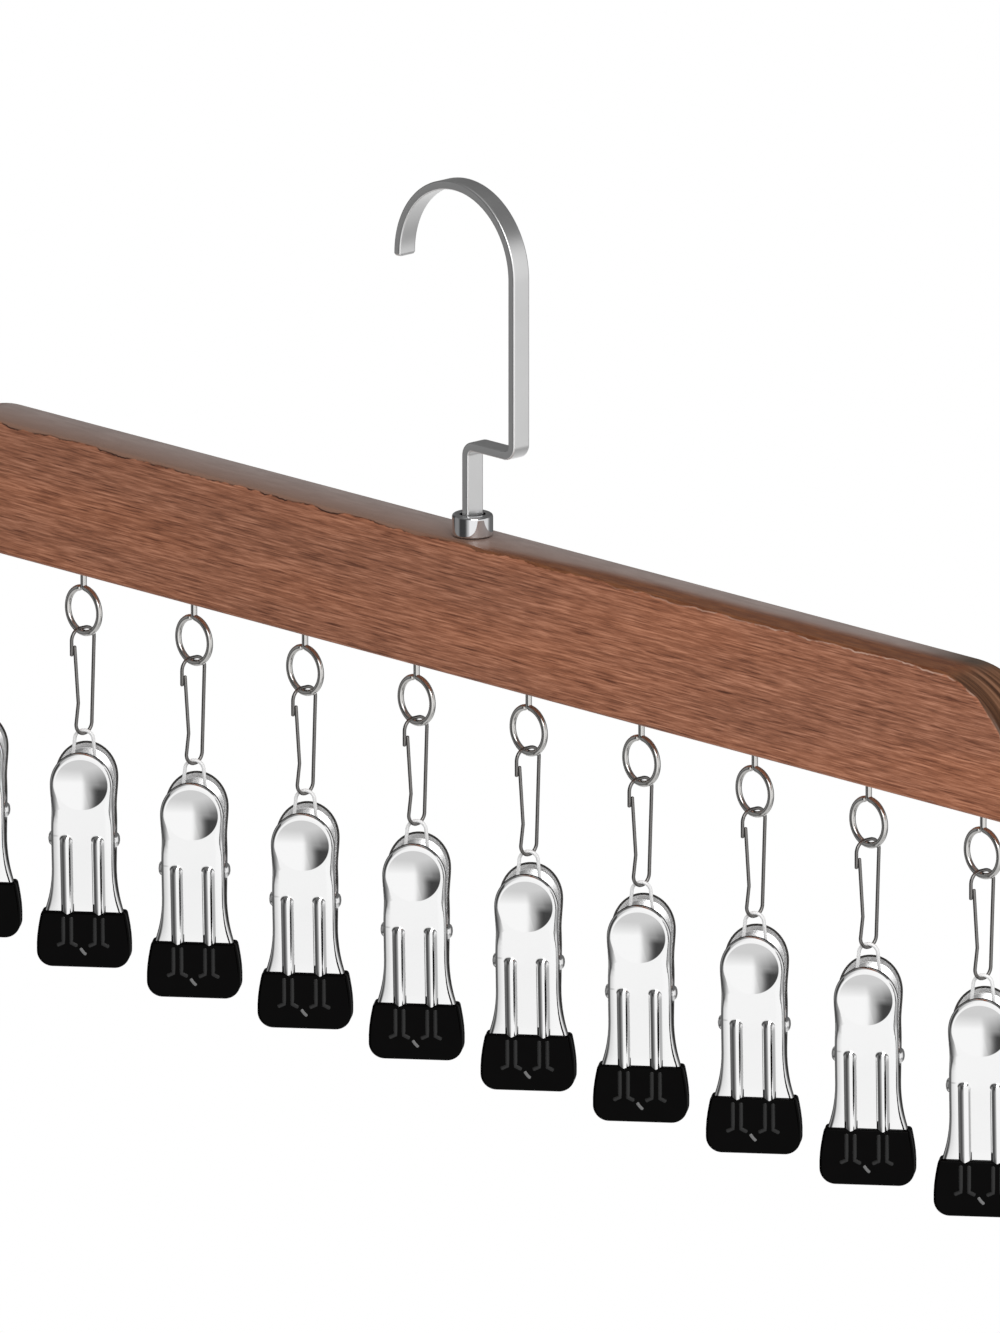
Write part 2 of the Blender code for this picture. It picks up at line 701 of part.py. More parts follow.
def grip_mesh(helpers):
    """A sleeve closed at the bottom, with a slot for the plate's foot. The two grips of a clip meet."""
    front = FOOT_SPREAD + GAP + GRIP_WALL
    back = GAP / 2
    top = GRIP_TOP_DEPTH
    outline = grip_outline(
        GRIP_TOP_HALF_WIDTH,
        GRIP_HALF_WIDTH,
        GRIP_CORNER_RADIUS,
        top,
        GRIP_WIDEST_DEPTH,
        GRIP_BOTTOM_DEPTH,
    )
    block = flat_mesh("grip_block", outline, front - back, helpers)
    upright = Matrix.Rotation(math.pi / 2, 4, "X")
    transformed(block, Matrix.Translation((0, -(front + back) / 2, 0)) @ upright)
    block = bevelled_mesh("grip_block", block, GRIP_CHAMFER, 1, helpers)
    slot_outline = grip_outline(
        MOUTH_HALF_WIDTH + GAP,
        FOOT_HALF_WIDTH + GAP,
        FOOT_CORNER_RADIUS + GAP,
        top - OVERRUN,
        PLATE_HEIGHT - FOOT_CORNER_RADIUS,
        PLATE_HEIGHT + GAP,
    )
    slot = flat_mesh("grip_slot", slot_outline, SHEET + 2 * GAP, helpers)
    transformed(slot, Matrix.Translation((0, SHEET / 2 - FOOT_SPREAD, 0)) @ upright)
    mesh = combined_mesh("grip", block, [("DIFFERENCE", slot)], helpers)
    smooth(mesh, 50)
    return mesh


def place_piece(name, mesh, parent, material, turn=0):
    placed = put(name, mesh, parent.users_collection[0])
    if not mesh.materials:
        mesh.materials.append(material)
    placed.parent = parent
    placed.rotation_euler.z = turn
    return placed


def new_datum(name, collection, place, turn=0, parent=None):
    datum = bpy.data.objects.new(name, None)
    datum.empty_display_size = CLIP_PITCH / 4
    collection.objects.link(datum)
    datum.location = place
    datum.rotation_euler.z = turn
    datum.parent = parent
    return datum


def build():
    clear_scene()
    pieces = new_collection(OBJECT_NAME)
    helpers = new_collection("cutters", helper=True)
    wood = new_material("stained_wood", (0.26, 0.10, 0.06), 0.0, 0.35)
    satin = new_material("satin_nickel", (0.62, 0.62, 0.62), 1.0, 0.32)
    chrome = new_material("chrome", (0.82, 0.82, 0.82), 1.0, 0.08)
    nickel = new_material("nickel_wire", (0.78, 0.76, 0.72), 1.0, 0.12)
    steel = new_material("plated_steel", (0.85, 0.85, 0.85), 1.0, 0.10)
    rubber = new_material("black_rubber", (0.01, 0.01, 0.01), 0.0, 0.30)

    hook_datum = new_datum("hook_datum", pieces, (0, 0, 0))
    bar_datum = new_datum("bar_datum", pieces, (STEM_X, 0, BAR_BOTTOM))
    collar_datum = new_datum("collar_datum", pieces, (0, 0, BAR_HEIGHT), parent=bar_datum)

    hook = hook_mesh(helpers)
    smooth(hook, 35)
    place_piece("hook", hook, hook_datum, satin)
    bar = bar_mesh(helpers)
    smooth(bar, 35)
    place_piece("bar", bar, bar_datum, wood)
    ferrule = ferrule_mesh(helpers)
    smooth(ferrule, 50)
    place_piece("ferrule", ferrule, collar_datum, chrome)
    place_piece("hook_washer", washer_mesh(helpers), bar_datum, steel)
    place_piece("hook_nut", nut_mesh(helpers), bar_datum, steel)

    link = link_mesh(helpers)
    smooth(link, 60)
    jaws = {"front": jaw_mesh(False, helpers), "rear": jaw_mesh(True, helpers)}
    grip = grip_mesh(helpers)
    turn = math.radians(CLIP_TURN_DEGREES)
    for number, place in enumerate(clip_places(), start=1):
        clip = f"clip_{number:02d}"
        hang = new_datum(f"{clip}_hang", pieces, (place, 0, HANG_DEPTH), parent=bar_datum)
        place_piece(f"{clip}_link", link, hang, nickel)
        pivot = new_datum(f"{clip}_pivot", pieces, (0, 0, PIVOT_BELOW_HANG), turn, hang)
        for which, half_turn in (("front", 0), ("rear", math.pi)):
            place_piece(f"{clip}_{which}_jaw", jaws[which], pivot, steel, half_turn)
            place_piece(f"{clip}_{which}_grip", grip, pivot, rubber, half_turn)
    gap = least_self_gap(spring_points(), SPRING_WIRE_RADIUS)
    print(f"least gap of a spring half to itself: {gap * 1000:.2f} mm")


build()
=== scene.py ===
"""A clip hanger dressed for a photograph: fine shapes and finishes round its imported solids."""

import json
import math

import bmesh
import bpy
from bpy.props import FloatProperty, FloatVectorProperty, PointerProperty
from mathutils import Matrix, Vector


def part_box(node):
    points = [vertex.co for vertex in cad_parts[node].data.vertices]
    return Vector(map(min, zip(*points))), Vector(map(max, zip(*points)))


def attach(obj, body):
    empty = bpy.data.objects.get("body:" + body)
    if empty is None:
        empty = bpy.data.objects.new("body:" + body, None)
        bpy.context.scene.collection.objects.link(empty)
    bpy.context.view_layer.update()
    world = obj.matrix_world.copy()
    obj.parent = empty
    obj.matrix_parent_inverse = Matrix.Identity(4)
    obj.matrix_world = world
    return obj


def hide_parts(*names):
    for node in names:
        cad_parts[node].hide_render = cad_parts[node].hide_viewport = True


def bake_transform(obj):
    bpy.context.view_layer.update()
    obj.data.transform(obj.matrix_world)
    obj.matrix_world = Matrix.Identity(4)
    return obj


bl_info = {
    "name": "Clip Hanger",
    "version": (1, 0, 0),
    "blender": (4, 5, 0),
    "location": "View3D > Sidebar > Clip Hanger",
    "description": "Builds the looks of a wooden clip hanger round its packed solids",
    "category": "Object",
}

MM = 0.001

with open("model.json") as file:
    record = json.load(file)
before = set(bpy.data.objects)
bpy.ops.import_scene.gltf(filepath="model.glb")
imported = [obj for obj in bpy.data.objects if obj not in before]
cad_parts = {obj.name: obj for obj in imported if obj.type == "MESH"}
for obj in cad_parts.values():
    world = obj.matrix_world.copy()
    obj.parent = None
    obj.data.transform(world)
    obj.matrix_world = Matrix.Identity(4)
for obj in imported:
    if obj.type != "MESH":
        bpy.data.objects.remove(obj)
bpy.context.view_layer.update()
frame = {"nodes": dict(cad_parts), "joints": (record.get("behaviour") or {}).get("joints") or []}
JOINT_PLACES = {joint["name"]: Vector(joint["pos_m"]) for joint in frame["joints"]}
BAR_LOW, BAR_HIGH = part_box("bar")
FERRULE_LOW, FERRULE_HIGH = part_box("ferrule")
HOOK_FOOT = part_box("hook")[0].z
CLIP_NAMES = sorted(name[:7] for name in frame["nodes"] if name.endswith("_link"))
STEM_X = (BAR_LOW.x + BAR_HIGH.x) / 2
BAR_FACE = BAR_HIGH.y
EYE_HANG = JOINT_PLACES["clip_01_swing"].z
PIVOT_HEIGHT = JOINT_PLACES["clip_01_front_open"].z
BAR_TOP = BAR_HIGH.z
ON_STEM = Matrix.Translation((STEM_X, 0, 0))


def length(name, description, millimetres):
    default = millimetres * MM
    shown = {"min": 0.0, "subtype": "DISTANCE", "unit": "LENGTH"}
    return FloatProperty(name=name, description=description, default=default, **shown)


def tint(name, description, default):
    shown = {"size": 3, "min": 0.0, "max": 1.0, "subtype": "COLOR"}
    return FloatVectorProperty(name=name, description=description, default=default, **shown)


def scalar(name, description, default):
    return FloatProperty(name=name, description=description, default=default)


class BarSettings(bpy.types.PropertyGroup):
    height: length("Height", "Bottom face to top face", 38)
    shoulder: length("Shoulder radius", "Radius of the upper corners", 33)
    foot: length("Foot radius", "Radius of the lower corners", 5)
    edge: length("Edge radius", "Rounding along every edge", 1.4)
    spigot_bore: length("Spigot bore", "Radius of the hole for the collar's spigot", 3.8)
    spigot_depth: length("Spigot bore depth", "Depth of that hole", 8.3)
    stem_bore: length("Stem bore", "Radius of the hole for the hook's stem", 2.3)
    nut_bore: length("Nut bore", "Radius of the recess for the nut", 5.5)
    nut_depth: length("Nut bore depth", "Depth of that recess", 6.5)
    dark: tint("Dark grain", "Stain in the dark fibres", (0.128, 0.042, 0.020))
    middle: tint("Middle grain", "Stain of most of the wood", (0.275, 0.103, 0.052))
    light: tint("Light grain", "Stain in the light fibres", (0.470, 0.210, 0.124))


class HookSettings(bpy.types.PropertyGroup):
    width: length("Strip width", "Width of the flat strip", 6)
    thickness: length("Strip thickness", "Thickness of the flat strip", 2.5)
    corner: length("Strip corner", "Rounding of the strip's long edges", 0.55)
    arch: length("Arch radius", "Inside radius of the arch", 21.6)
    jog: length("Jog", "Sideways step of the strip above the collar", 18.5)
    jog_height: length("Jog height", "Height of that step above the collar", 19.6)
    bend: length("Bend radius", "Radius of the two bends of the jog", 3.0)
    tip_drop: length("Tip drop", "Straight end past the arch", 0.8)
    cup_depth: length("Cup depth", "How far the strip stands in the collar", 4.9)
    stem: length("Stem radius", "Radius of the threaded stem", 2.0)
    thread_pitch: length("Thread pitch", "Rise of the stem's thread in a turn", 0.7)
    metal: tint("Metal", "Colour of the satin plating", (0.850, 0.850, 0.850))


class EyeSettings(bpy.types.PropertyGroup):
    radius: length("Ring radius", "Middle of the wire", 6.4)
    wire: length("Wire radius", "Thickness of the ring's wire", 0.9)
    bend: length("Bend radius", "Where the shank turns into the ring", 1.0)


class LinkSettings(bpy.types.PropertyGroup):
    wire: length("Wire radius", "Thickness of the wire", 0.5)
    top: length("Top", "Height of the wire over the eye's lowest wire", 1.5)
    height: length("Length", "Top to bottom, along the wire's middle", 30.2)
    top_radius: length("Top radius", "Bend over the screw eye", 4.2)
    top_corner: length("Top corner", "Radius of the top bend's two corners", 3.2)
    bottom_radius: length("Bottom radius", "Bend under the bail", 2.95)
    offset: length("Top offset", "How far forward the top bend stands", 0.35)
    stub: length("Stub", "Straight end past the top bend", 3.0)
    kink_depth: length("Kink depth", "Where the long end starts to slant", 19.8)
    kink_inset: length("Kink inset", "How far forward the kink stands", 2.1)
    end_depth: length("End depth", "Where the long end stops, beside the stub", 3.4)
    bail_top_radius: length("Bail top radius", "Bend of the bail in the link", 2.6)
    bail_half_width: length("Bail half width", "Half the bail's foot", 5.2)
    bail_corner: length("Bail corner", "Radius of the bail's lower corners", 1.0)
    bail_crossing: length("Bail crossing", "Height of the bail's foot over the pivot", 1.4)
    metal: tint("Metal", "Colour of the bright wire", (0.700, 0.690, 0.670))


class ClipSettings(bpy.types.PropertyGroup):
    pivot_depth: length("Pivot depth", "Top of the plate to the pivot", 26.3)
    height: length("Plate height", "Top to bottom of the plate", 60.9)
    mouth_depth: length("Mouth depth", "Top of the plate to where it turns straight", 46.4)
    sheet: length("Sheet", "Thickness of the pressed sheet", 0.6)
    top_spread: length("Top spread", "Middle plane to the plate, at its top", 7.5)
    pivot_spread: length("Pivot spread", "Middle plane to the plate, at the pivot", 4.6)
    foot_spread: length("Foot spread", "Middle plane to the plate, at its foot", 2.0)
    tab: length("Tab", "Half width of the round top", 8.85)
    tab_height: length("Tab height", "Top of the plate to where the tab is widest", 9.8)
    waist: length("Waist", "Half width under the tab", 8.55)
    body: length("Body", "Half width at the pivot", 8.7)
    mouth: length("Mouth", "Half width where the plate turns straight", 10.8)
    foot: length("Foot", "Half width in the grip", 11.6)
    foot_corner: length("Foot corner", "Radius of the foot's corners", 3.4)
    flange: length("Flange", "Depth of the folded sides", 1.6)
    dimple: length("Dimple", "Radius of the thumb dimple", 7.35)
    dimple_depth: length("Dimple depth", "Depth of the thumb dimple", 1.5)
    dimple_place: length("Dimple place", "Top of the plate to the dimple's middle", 9.35)
    rib_offset: length("Rib offset", "Middle of the plate to the middle of a rib", 4.4)
    rib: length("Rib", "Half width of a rib", 1.8)
    rib_rise: length("Rib rise", "Height of a rib", 1.05)
    rib_top: length("Rib top", "Top of the plate to the top of a rib", 24.2)
    ear: length("Ear", "Radius of an ear round the pivot", 2.6)
    ear_root: length("Ear root", "Half the height of an ear's root", 4.2)
    pin: length("Pin", "Radius of the pivot pin", 1.2)
    metal: tint("Metal", "Colour of the bright plating", (0.930, 0.930, 0.930))


class SpringSettings(bpy.types.PropertyGroup):
    wire: length("Wire radius", "Thickness of the spring wire", 0.45)
    coil: length("Coil radius", "Middle of the wire", 2.65)
    half_width: length("Half width", "Middle of the coil to a leg", 2.475)
    leg: length("Leg", "Height of a leg over the pivot", 10.0)
    rest: length("Rest", "Stretch of the leg that lies on the plate", 2.0)
    half_turns: scalar("Half turns", "Turns of each half", 1.25)


class GripSettings(bpy.types.PropertyGroup):
    top_half: length("Top half width", "Half the sleeve's width at its top", 11.7)
    half: length("Half width", "Half the sleeve's greatest width", 13.0)
    top: length("Top depth", "Top of the plate to the sleeve's upper edge", 46.7)
    widest: length("Widest depth", "Top of the plate to the greatest width", 55.8)
    bottom: length("Bottom depth", "Top of the plate to the sleeve's lower edge", 62.4)
    corner: length("Corner", "Radius of the lower corners", 4.4)
    front: length("Front", "Middle plane to the sleeve's outer face", 3.1)
    back: length("Back", "Middle plane to the sleeve's inner face", 0.15)
    edge: length("Edge", "Rounding of the sleeve's edges", 0.8)
    clearance: length("Clearance", "Room round the plate in the sleeve", 0.3)
    bead: length("Bead", "Half width of the raised lines over the ribs", 0.55)
    bead_rise: length("Bead rise", "Height of those lines", 0.2)
    rubber: tint("Rubber", "Colour of the sleeves", (0.0008, 0.0006, 0.0006))


class StageSettings(bpy.types.PropertyGroup):
    azimuth: scalar("Azimuth", "Camera round the hanger, degrees", 47)
    elevation: scalar("Elevation", "Camera over the horizon, degrees", 14.5)
    lens: scalar("Lens", "Focal length in millimetres", 1200)
    distance: length("Distance", "Camera to the point it looks at", 12142)
    aim_across: length("Aim across", "Stem to the point it looks at, along the bar", 11.0)
    aim_up: length("Aim up", "Bar's bottom to the point it looks at", 3.004)
    floor_drop: length("Floor drop", "Rail to floor", 1550)
    floor_radius: length("Floor radius", "Radius of the round floor", 3000)
    floor_tint: tint("Floor", "Colour of the pale floor", (0.93, 0.93, 0.93))


class HangerSettings(bpy.types.PropertyGroup):
    bar: PointerProperty(type=BarSettings)
    hook: PointerProperty(type=HookSettings)
    eye: PointerProperty(type=EyeSettings)
    link: PointerProperty(type=LinkSettings)
    clip: PointerProperty(type=ClipSettings)
    spring: PointerProperty(type=SpringSettings)
    grip: PointerProperty(type=GripSettings)
    stage: PointerProperty(type=StageSettings)


def settings():
    return bpy.context.scene.clip_hanger


# Meshes


def new_object(name, data):
    made = bpy.data.objects.new(name, data)
    bpy.context.scene.collection.objects.link(made)
    return made


def arc(centre, radius, start, end, count):
    """Points of an arc in a plane, from one angle to another, in degrees."""
    angles = [math.radians(start + (end - start) * i / count) for i in range(count + 1)]
    return [(centre[0] + radius * math.cos(a), centre[1] + radius * math.sin(a)) for a in angles]


def circle(radius, count):
    return arc((0, 0), radius, 0, 360, count)[:-1]


def mesh_of(edit, name):
    bmesh.ops.recalc_face_normals(edit, faces=edit.faces)
    mesh = bpy.data.meshes.new(name)
    edit.to_mesh(mesh)
    edit.free()
    return mesh


def with_modifiers(mesh, *changes):
    """The mesh after (kind, settings) modifiers."""
    body = new_object(mesh.name, mesh)
    for kind, values in changes:
        change = body.modifiers.new(kind, kind)
        for key, value in values.items():
            setattr(change, key, value)
    bpy.context.view_layer.update()
    graph = bpy.context.evaluated_depsgraph_get()
    result = bpy.data.meshes.new_from_object(body.evaluated_get(graph))
    result.name = mesh.name
    bpy.data.objects.remove(body, do_unlink=True)
    return result


def combined(mesh, *changes):
    """The mesh after (operation, other mesh) exact Booleans."""
    booleans = [
        {"operation": operation, "solver": "EXACT", "object": new_object("tool", other)}
        for operation, other in changes
    ]
    result = with_modifiers(mesh, *(("BOOLEAN", values) for values in booleans))
    for values in booleans:
        bpy.data.objects.remove(values["object"], do_unlink=True)
    return result


def rounded(mesh, width, segments, degrees):
    """The mesh with a rounding along each edge that turns by more than an angle."""
    values = {"width": width, "segments": segments, "angle_limit": math.radians(degrees)}
    return with_modifiers(mesh, ("BEVEL", {**values, "limit_method": "ANGLE"}))


def shaded(mesh, sharp_degrees, weighted=True):
    """Smooth shading that keeps flat faces flat and edges over the angle sharp."""
    mesh.shade_smooth()
    mesh.set_sharp_from_angle(angle=math.radians(sharp_degrees))
    if not weighted:
        return mesh
    return with_modifiers(mesh, ("WEIGHTED_NORMAL", {"keep_sharp": True, "weight": 100}))


def bridge(edit, first, second, closed=True):
    """Quads between two rows of points of the same count."""
    pairs = list(zip(first, second))
    ends = pairs[1:] + pairs[:1] if closed else pairs[1:]
    return [edit.faces.new((a, c, d, b)) for (a, b), (c, d) in zip(pairs, ends)]


def swept(edit, path, ring, side=None, scales=None, cyclic=False):
    """A section carried along a path. side fixes the section's second axis."""
    places = [Vector(place) for place in path]
    across = side
    rows = []
    for number, place in enumerate(places):
        if cyclic:
            before, after = places[number - 1], places[(number + 1) % len(places)]
        else:
            before = places[max(number - 1, 0)]
            after = places[min(number + 1, len(places) - 1)]
        along = (after - before).normalized()
        if side is None:
            if across is None:
                across = along.orthogonal()
            across = (across - along * across.dot(along)).normalized()
        other = along.cross(across)
        scale = scales[number] if scales else 1
        rows.append([edit.verts.new(place + (other * u + across * v) * scale) for u, v in ring])
    for upper, lower in zip(rows, rows[1:]):
        bridge(edit, upper, lower)
    if cyclic:
        bridge(edit, rows[-1], rows[0])
    else:
        edit.faces.new(rows[0][::-1])
        edit.faces.new(rows[-1])


def wire(name, path, radius, sides=12, cyclic=False):
    """A round wire. An open one has domed ends."""
    edit = bmesh.new()
    places = [Vector(place) for place in path]
    scales = None
    if not cyclic:
        # How far out each ring of a dome stands and how wide it is, in radii.
        domes = [(0.55, 0.45), (0.35, 0.80)]
        scales = [s for _, s in domes] + [1] * len(places) + [s for _, s in reversed(domes)]
        first = (places[0] - places[1]).normalized() * radius
        last = (places[-1] - places[-2]).normalized() * radius
        start = [places[0] + first * out for out, _ in domes]
        places = start + places + [places[-1] + last * out for out, _ in reversed(domes)]
    swept(edit, places, circle(radius, sides), scales=scales, cyclic=cyclic)
    return shaded(mesh_of(edit, name), 60, weighted=False)


def turned(edit, profile, count, matrix=None):
    """A solid of revolution about Z. A profile that starts and ends on the axis is closed by it."""
    closed = profile[0][0] > 0
    rings = []
    for radius, height in profile:
        if radius == 0:
            rings.append([edit.verts.new((0, 0, height))])
        else:
            rings.append([edit.verts.new((x, y, height)) for x, y in circle(radius, count)])
    pairs = list(zip(rings, rings[1:] + (rings[:1] if closed else [])))
    for first, second in pairs:
        if len(first) == len(second) == 1:
            continue
        if len(first) == 1:
            first = first * count
        if len(second) == 1:
            second = second * count
        for i in range(count):
            corners = [first[i], first[(i + 1) % count], second[(i + 1) % count], second[i]]
            edit.faces.new(list(dict.fromkeys(corners)))
    if matrix is not None:
        made = [vertex for ring in rings for vertex in ring]
        bmesh.ops.transform(edit, matrix=matrix, verts=made)


def spun(name, profile, count, matrix=ON_STEM):
    """A solid of revolution as a mesh, round the hook's stem unless told otherwise."""
    edit = bmesh.new()
    turned(edit, profile, count, matrix)
    return mesh_of(edit, name)


def slab(outline, low, high, name):
    """A flat outline in XZ, from one Y to another."""
    edit = bmesh.new()
    front = [edit.verts.new((x, low, z)) for x, z in outline]
    back = [edit.verts.new((x, high, z)) for x, z in outline]
    edit.faces.new(front)
    edit.faces.new(back[::-1])
    bridge(edit, back, front)
    return mesh_of(edit, name)


def piece(name, mesh, finish, body, nodes=(), matrix=None):
    """A finished mesh as a piece of the hanger."""
    made = new_object(name, mesh)
    if matrix is not None:
        made.matrix_world = matrix
    if finish and not mesh.materials:
        mesh.materials.append(finish)
    if body is not None:
        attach(made, body)
    if nodes:
        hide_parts(*nodes)
    return made


# Finishes


def feed(tree, node, inputs):
    """Gives each input a plain value or another node's output."""
    for key, value in inputs.items():
        if isinstance(value, bpy.types.NodeSocket):
            tree.links.new(value, node.inputs[key])
        else:
            node.inputs[key].default_value = value


def add(tree, kind, inputs=None, **options):
    """A new node. The answer is its outputs."""
    node = tree.nodes.new(kind)
    for key, value in options.items():
        setattr(node, key, value)
    feed(tree, node, inputs or {})
    return node.outputs


def calc(tree, operation, *values):
    return add(tree, "ShaderNodeMath", dict(enumerate(values)), operation=operation)[0]


def weighed(tree, parts):
    """Sum of (output, weight)."""
    total = 0.0
    for output, weight in parts:
        total = calc(tree, "MULTIPLY_ADD", output, weight, total)
    return total


def ranged(tree, output, low, high, first=0.0, last=1.0, smooth=False):
    """A value taken from one range to another and held at its ends."""
    kind = "SMOOTHSTEP" if smooth else "LINEAR"
    inputs = {"Value": output, "From Min": low, "From Max": high, "To Min": first, "To Max": last}
    return add(tree, "ShaderNodeMapRange", inputs, interpolation_type=kind)[0]


def blended(tree, factor, first, second, blend_type="MIX"):
    """Two colours mixed by a factor. Each is an output or a plain colour."""
    inputs = {"Factor": factor}
    for key, value in (("A", first), ("B", second)):
        inputs[key] = (*value, 1) if isinstance(value, tuple) else value
    return add(tree, "ShaderNodeMix", inputs, data_type="RGBA", blend_type=blend_type)["Result"]


def tinted(tree, output, stops):
    """A value turned into a colour by (place, colour) stops."""
    ramp = tree.nodes.new("ShaderNodeValToRGB")
    while len(ramp.color_ramp.elements) < len(stops):
        ramp.color_ramp.elements.new(0.5)
    for stop, (where, colour) in zip(ramp.color_ramp.elements, stops):
        stop.position = where
        stop.color = (*colour, 1)
    feed(tree, ramp, {"Fac": output})
    return ramp.outputs["Color"]


def noise(tree, place, scale, detail, roughness=0.6):
    inputs = {"Vector": place, "Scale": scale, "Detail": detail, "Roughness": roughness}
    return add(tree, "ShaderNodeTexNoise", inputs)["Fac"]


def grain(tree, place, scale, detail):
    """Noise stretched along the bar."""
    squeezed = add(tree, "ShaderNodeMapping", {"Vector": place, "Scale": scale})["Vector"]
    return noise(tree, squeezed, 1.0, detail)


def mottle_group():
    """Soft blotches as a roughness, and a fine grit for bump."""
    name = "mottle"
    if name in bpy.data.node_groups:
        return bpy.data.node_groups[name]
    group = bpy.data.node_groups.new(name, "ShaderNodeTree")
    socket = group.interface.new_socket
    socket("Vector", in_out="INPUT", socket_type="NodeSocketVector")
    defaults = {"Blotch Scale": 60.0, "Grit Scale": 2500.0, "Low": 0.1, "High": 0.2}
    for label, value in defaults.items():
        socket(label, in_out="INPUT", socket_type="NodeSocketFloat").default_value = value
    for label in ("Roughness", "Grit"):
        socket(label, in_out="OUTPUT", socket_type="NodeSocketFloat")
    given = add(group, "NodeGroupInput")
    blotch = noise(group, given["Vector"], given["Blotch Scale"], 3.0)
    grit = noise(group, given["Vector"], given["Grit Scale"], 2.0, 0.5)
    mixed = calc(group, "MULTIPLY_ADD", grit, 0.35, blotch)
    gloss = ranged(group, mixed, 0.45, 0.9, given["Low"], given["High"])
    add(group, "NodeGroupOutput", {"Roughness": gloss, "Grit": grit})
    return group


def new_finish(name, values):
    finish = bpy.data.materials.new(name)
    finish.use_nodes = True
    tree = finish.node_tree
    shader = tree.nodes["Principled BSDF"]
    feed(tree, shader, values)
    return finish, tree, shader


def mottled(name, values, bump, **mottling):
    """A finish with blotchy gloss and a fine grit. bump is its strength and depth."""
    finish, tree, shader = new_finish(name, values)
    inputs = {"Vector": add(tree, "ShaderNodeTexCoord")["Object"], **mottling}
    mottle = add(tree, "ShaderNodeGroup", inputs, node_tree=mottle_group())
    relief = {"Height": mottle["Grit"], "Strength": bump[0], "Distance": bump[1]}
    normal = add(tree, "ShaderNodeBump", relief)["Normal"]
    feed(tree, shader, {"Roughness": mottle["Roughness"], "Normal": normal})
    return finish


METAL_GRIT, RUBBER_GRIT = 0.02 * MM, 0.03 * MM
# Each metal's colour, or the settings that hold it, then its least and greatest roughness, the
# scale of its grit, the strength of its bump and how metallic it is.
METALS = {
    "satin nickel": ("hook", 0.30, 0.38, 3500.0, 0.25, 1.0),
    "polished chrome": ((0.80, 0.80, 0.81), 0.03, 0.07, 900.0, 0.03, 1.0),
    "bright wire": ("link", 0.10, 0.20, 1500.0, 0.08, 1.0),
    "dark wire": ((0.230, 0.222, 0.215), 0.22, 0.34, 1500.0, 0.10, 1.0),
    # The bail's near-white, barely metallic colour is a painted highlight on its metal wire.
    "bail painted highlight wire": ((0.950, 0.950, 0.950), 0.45, 0.60, 1500.0, 0.05, 0.25),
    "spring wire": ((0.50, 0.50, 0.51), 0.16, 0.26, 1800.0, 0.12, 1.0),
    "bright sheet": ("clip", 0.05, 0.11, 700.0, 0.03, 1.0),
    # The plates' inner faces are unpolished. The dark grey of their cut edges is painted shade.
    "dull sheet": ("clip", 0.28, 0.36, 1200.0, 0.02, 1.0),
    "edge painted shade": ((0.110, 0.106, 0.102), 0.30, 0.42, 2400.0, 0.10, 1.0),
}


def metal(name):
    """A plated metal from the table."""
    if name in bpy.data.materials:
        return bpy.data.materials[name]
    colour, low, high, grit_scale, bump, metallic = METALS[name]
    if isinstance(colour, str):
        colour = getattr(settings(), colour).metal
    values = {"Base Color": (*colour, 1), "Metallic": metallic}
    mottling = {"Low": low, "High": high, "Grit Scale": grit_scale}
    return mottled(name, values, (bump, METAL_GRIT), **mottling)


# How much lighter than the sleeves each rubber is, and how glossy. The lighter colour of the raised
# lines is a painted sheen, and the nub's is a painted highlight.
RUBBERS = {
    "black rubber": (0.0, 0.05),
    "bead painted sheen rubber": (0.018, 0.25),
    "nub painted highlight rubber": (0.16, 0.40),
}


def rubber(name):
    """A glossy rubber like the sleeves', or a lighter one whose lift is painted sheen on the raised
    lines and a painted highlight on the nub.
    """
    if name in bpy.data.materials:
        return bpy.data.materials[name]
    lift, gloss = RUBBERS[name]
    colour = [channel + lift for channel in settings().grip.rubber]
    values = {"Base Color": (*colour, 1), "Specular IOR Level": gloss}
    mottling = {"Low": 0.16, "High": 0.30, "Grit Scale": 1400.0, "Blotch Scale": 180.0}
    return mottled(name, values, (0.2, RUBBER_GRIT), **mottling)


# Colours of the stained wood beside those of its grain, and of the light, shade and reflection
# painted on it. The first five multiply what is under them. Where there are two, they are for dark
# and light fibres.
PORE = (0.60, 0.52, 0.47)
WARM_BAND = (1.0, 0.93, 0.85)
# Painted light: the wood grows lighter towards the bar's right end.
PAINTED_LIGHT_RIGHT = (1.12, 1.12, 1.14)
# Darkens the painted reflection on the top near the right end.
PAINTED_REFLECTION_DIM_END = (0.28, 0.23, 0.17)
# Painted shade and a painted highlight for the wavy line along the edges.
PAINTED_SHADE_LINE = (0.20, 0.13, 0.10)
PAINTED_HIGHLIGHT_LINE = (0.44, 0.27, 0.205)
# The top: the brown of a band along its front edge, the painted reflection that greys the rest of
# it, and the browner colour that painted reflection fades to at the front.
BROWN_EDGE = ((0.120, 0.033, 0.009), (0.205, 0.072, 0.024))
PAINTED_TOP_REFLECTION = ((0.250, 0.197, 0.180), (0.310, 0.250, 0.230))
PAINTED_REFLECTION_FRONT = (0.222, 0.122, 0.083)
END_STRIPES = [
    (0.40, (0.055, 0.020, 0.007)),
    (0.52, (0.122, 0.050, 0.021)),
    (0.66, (0.215, 0.100, 0.052)),
]


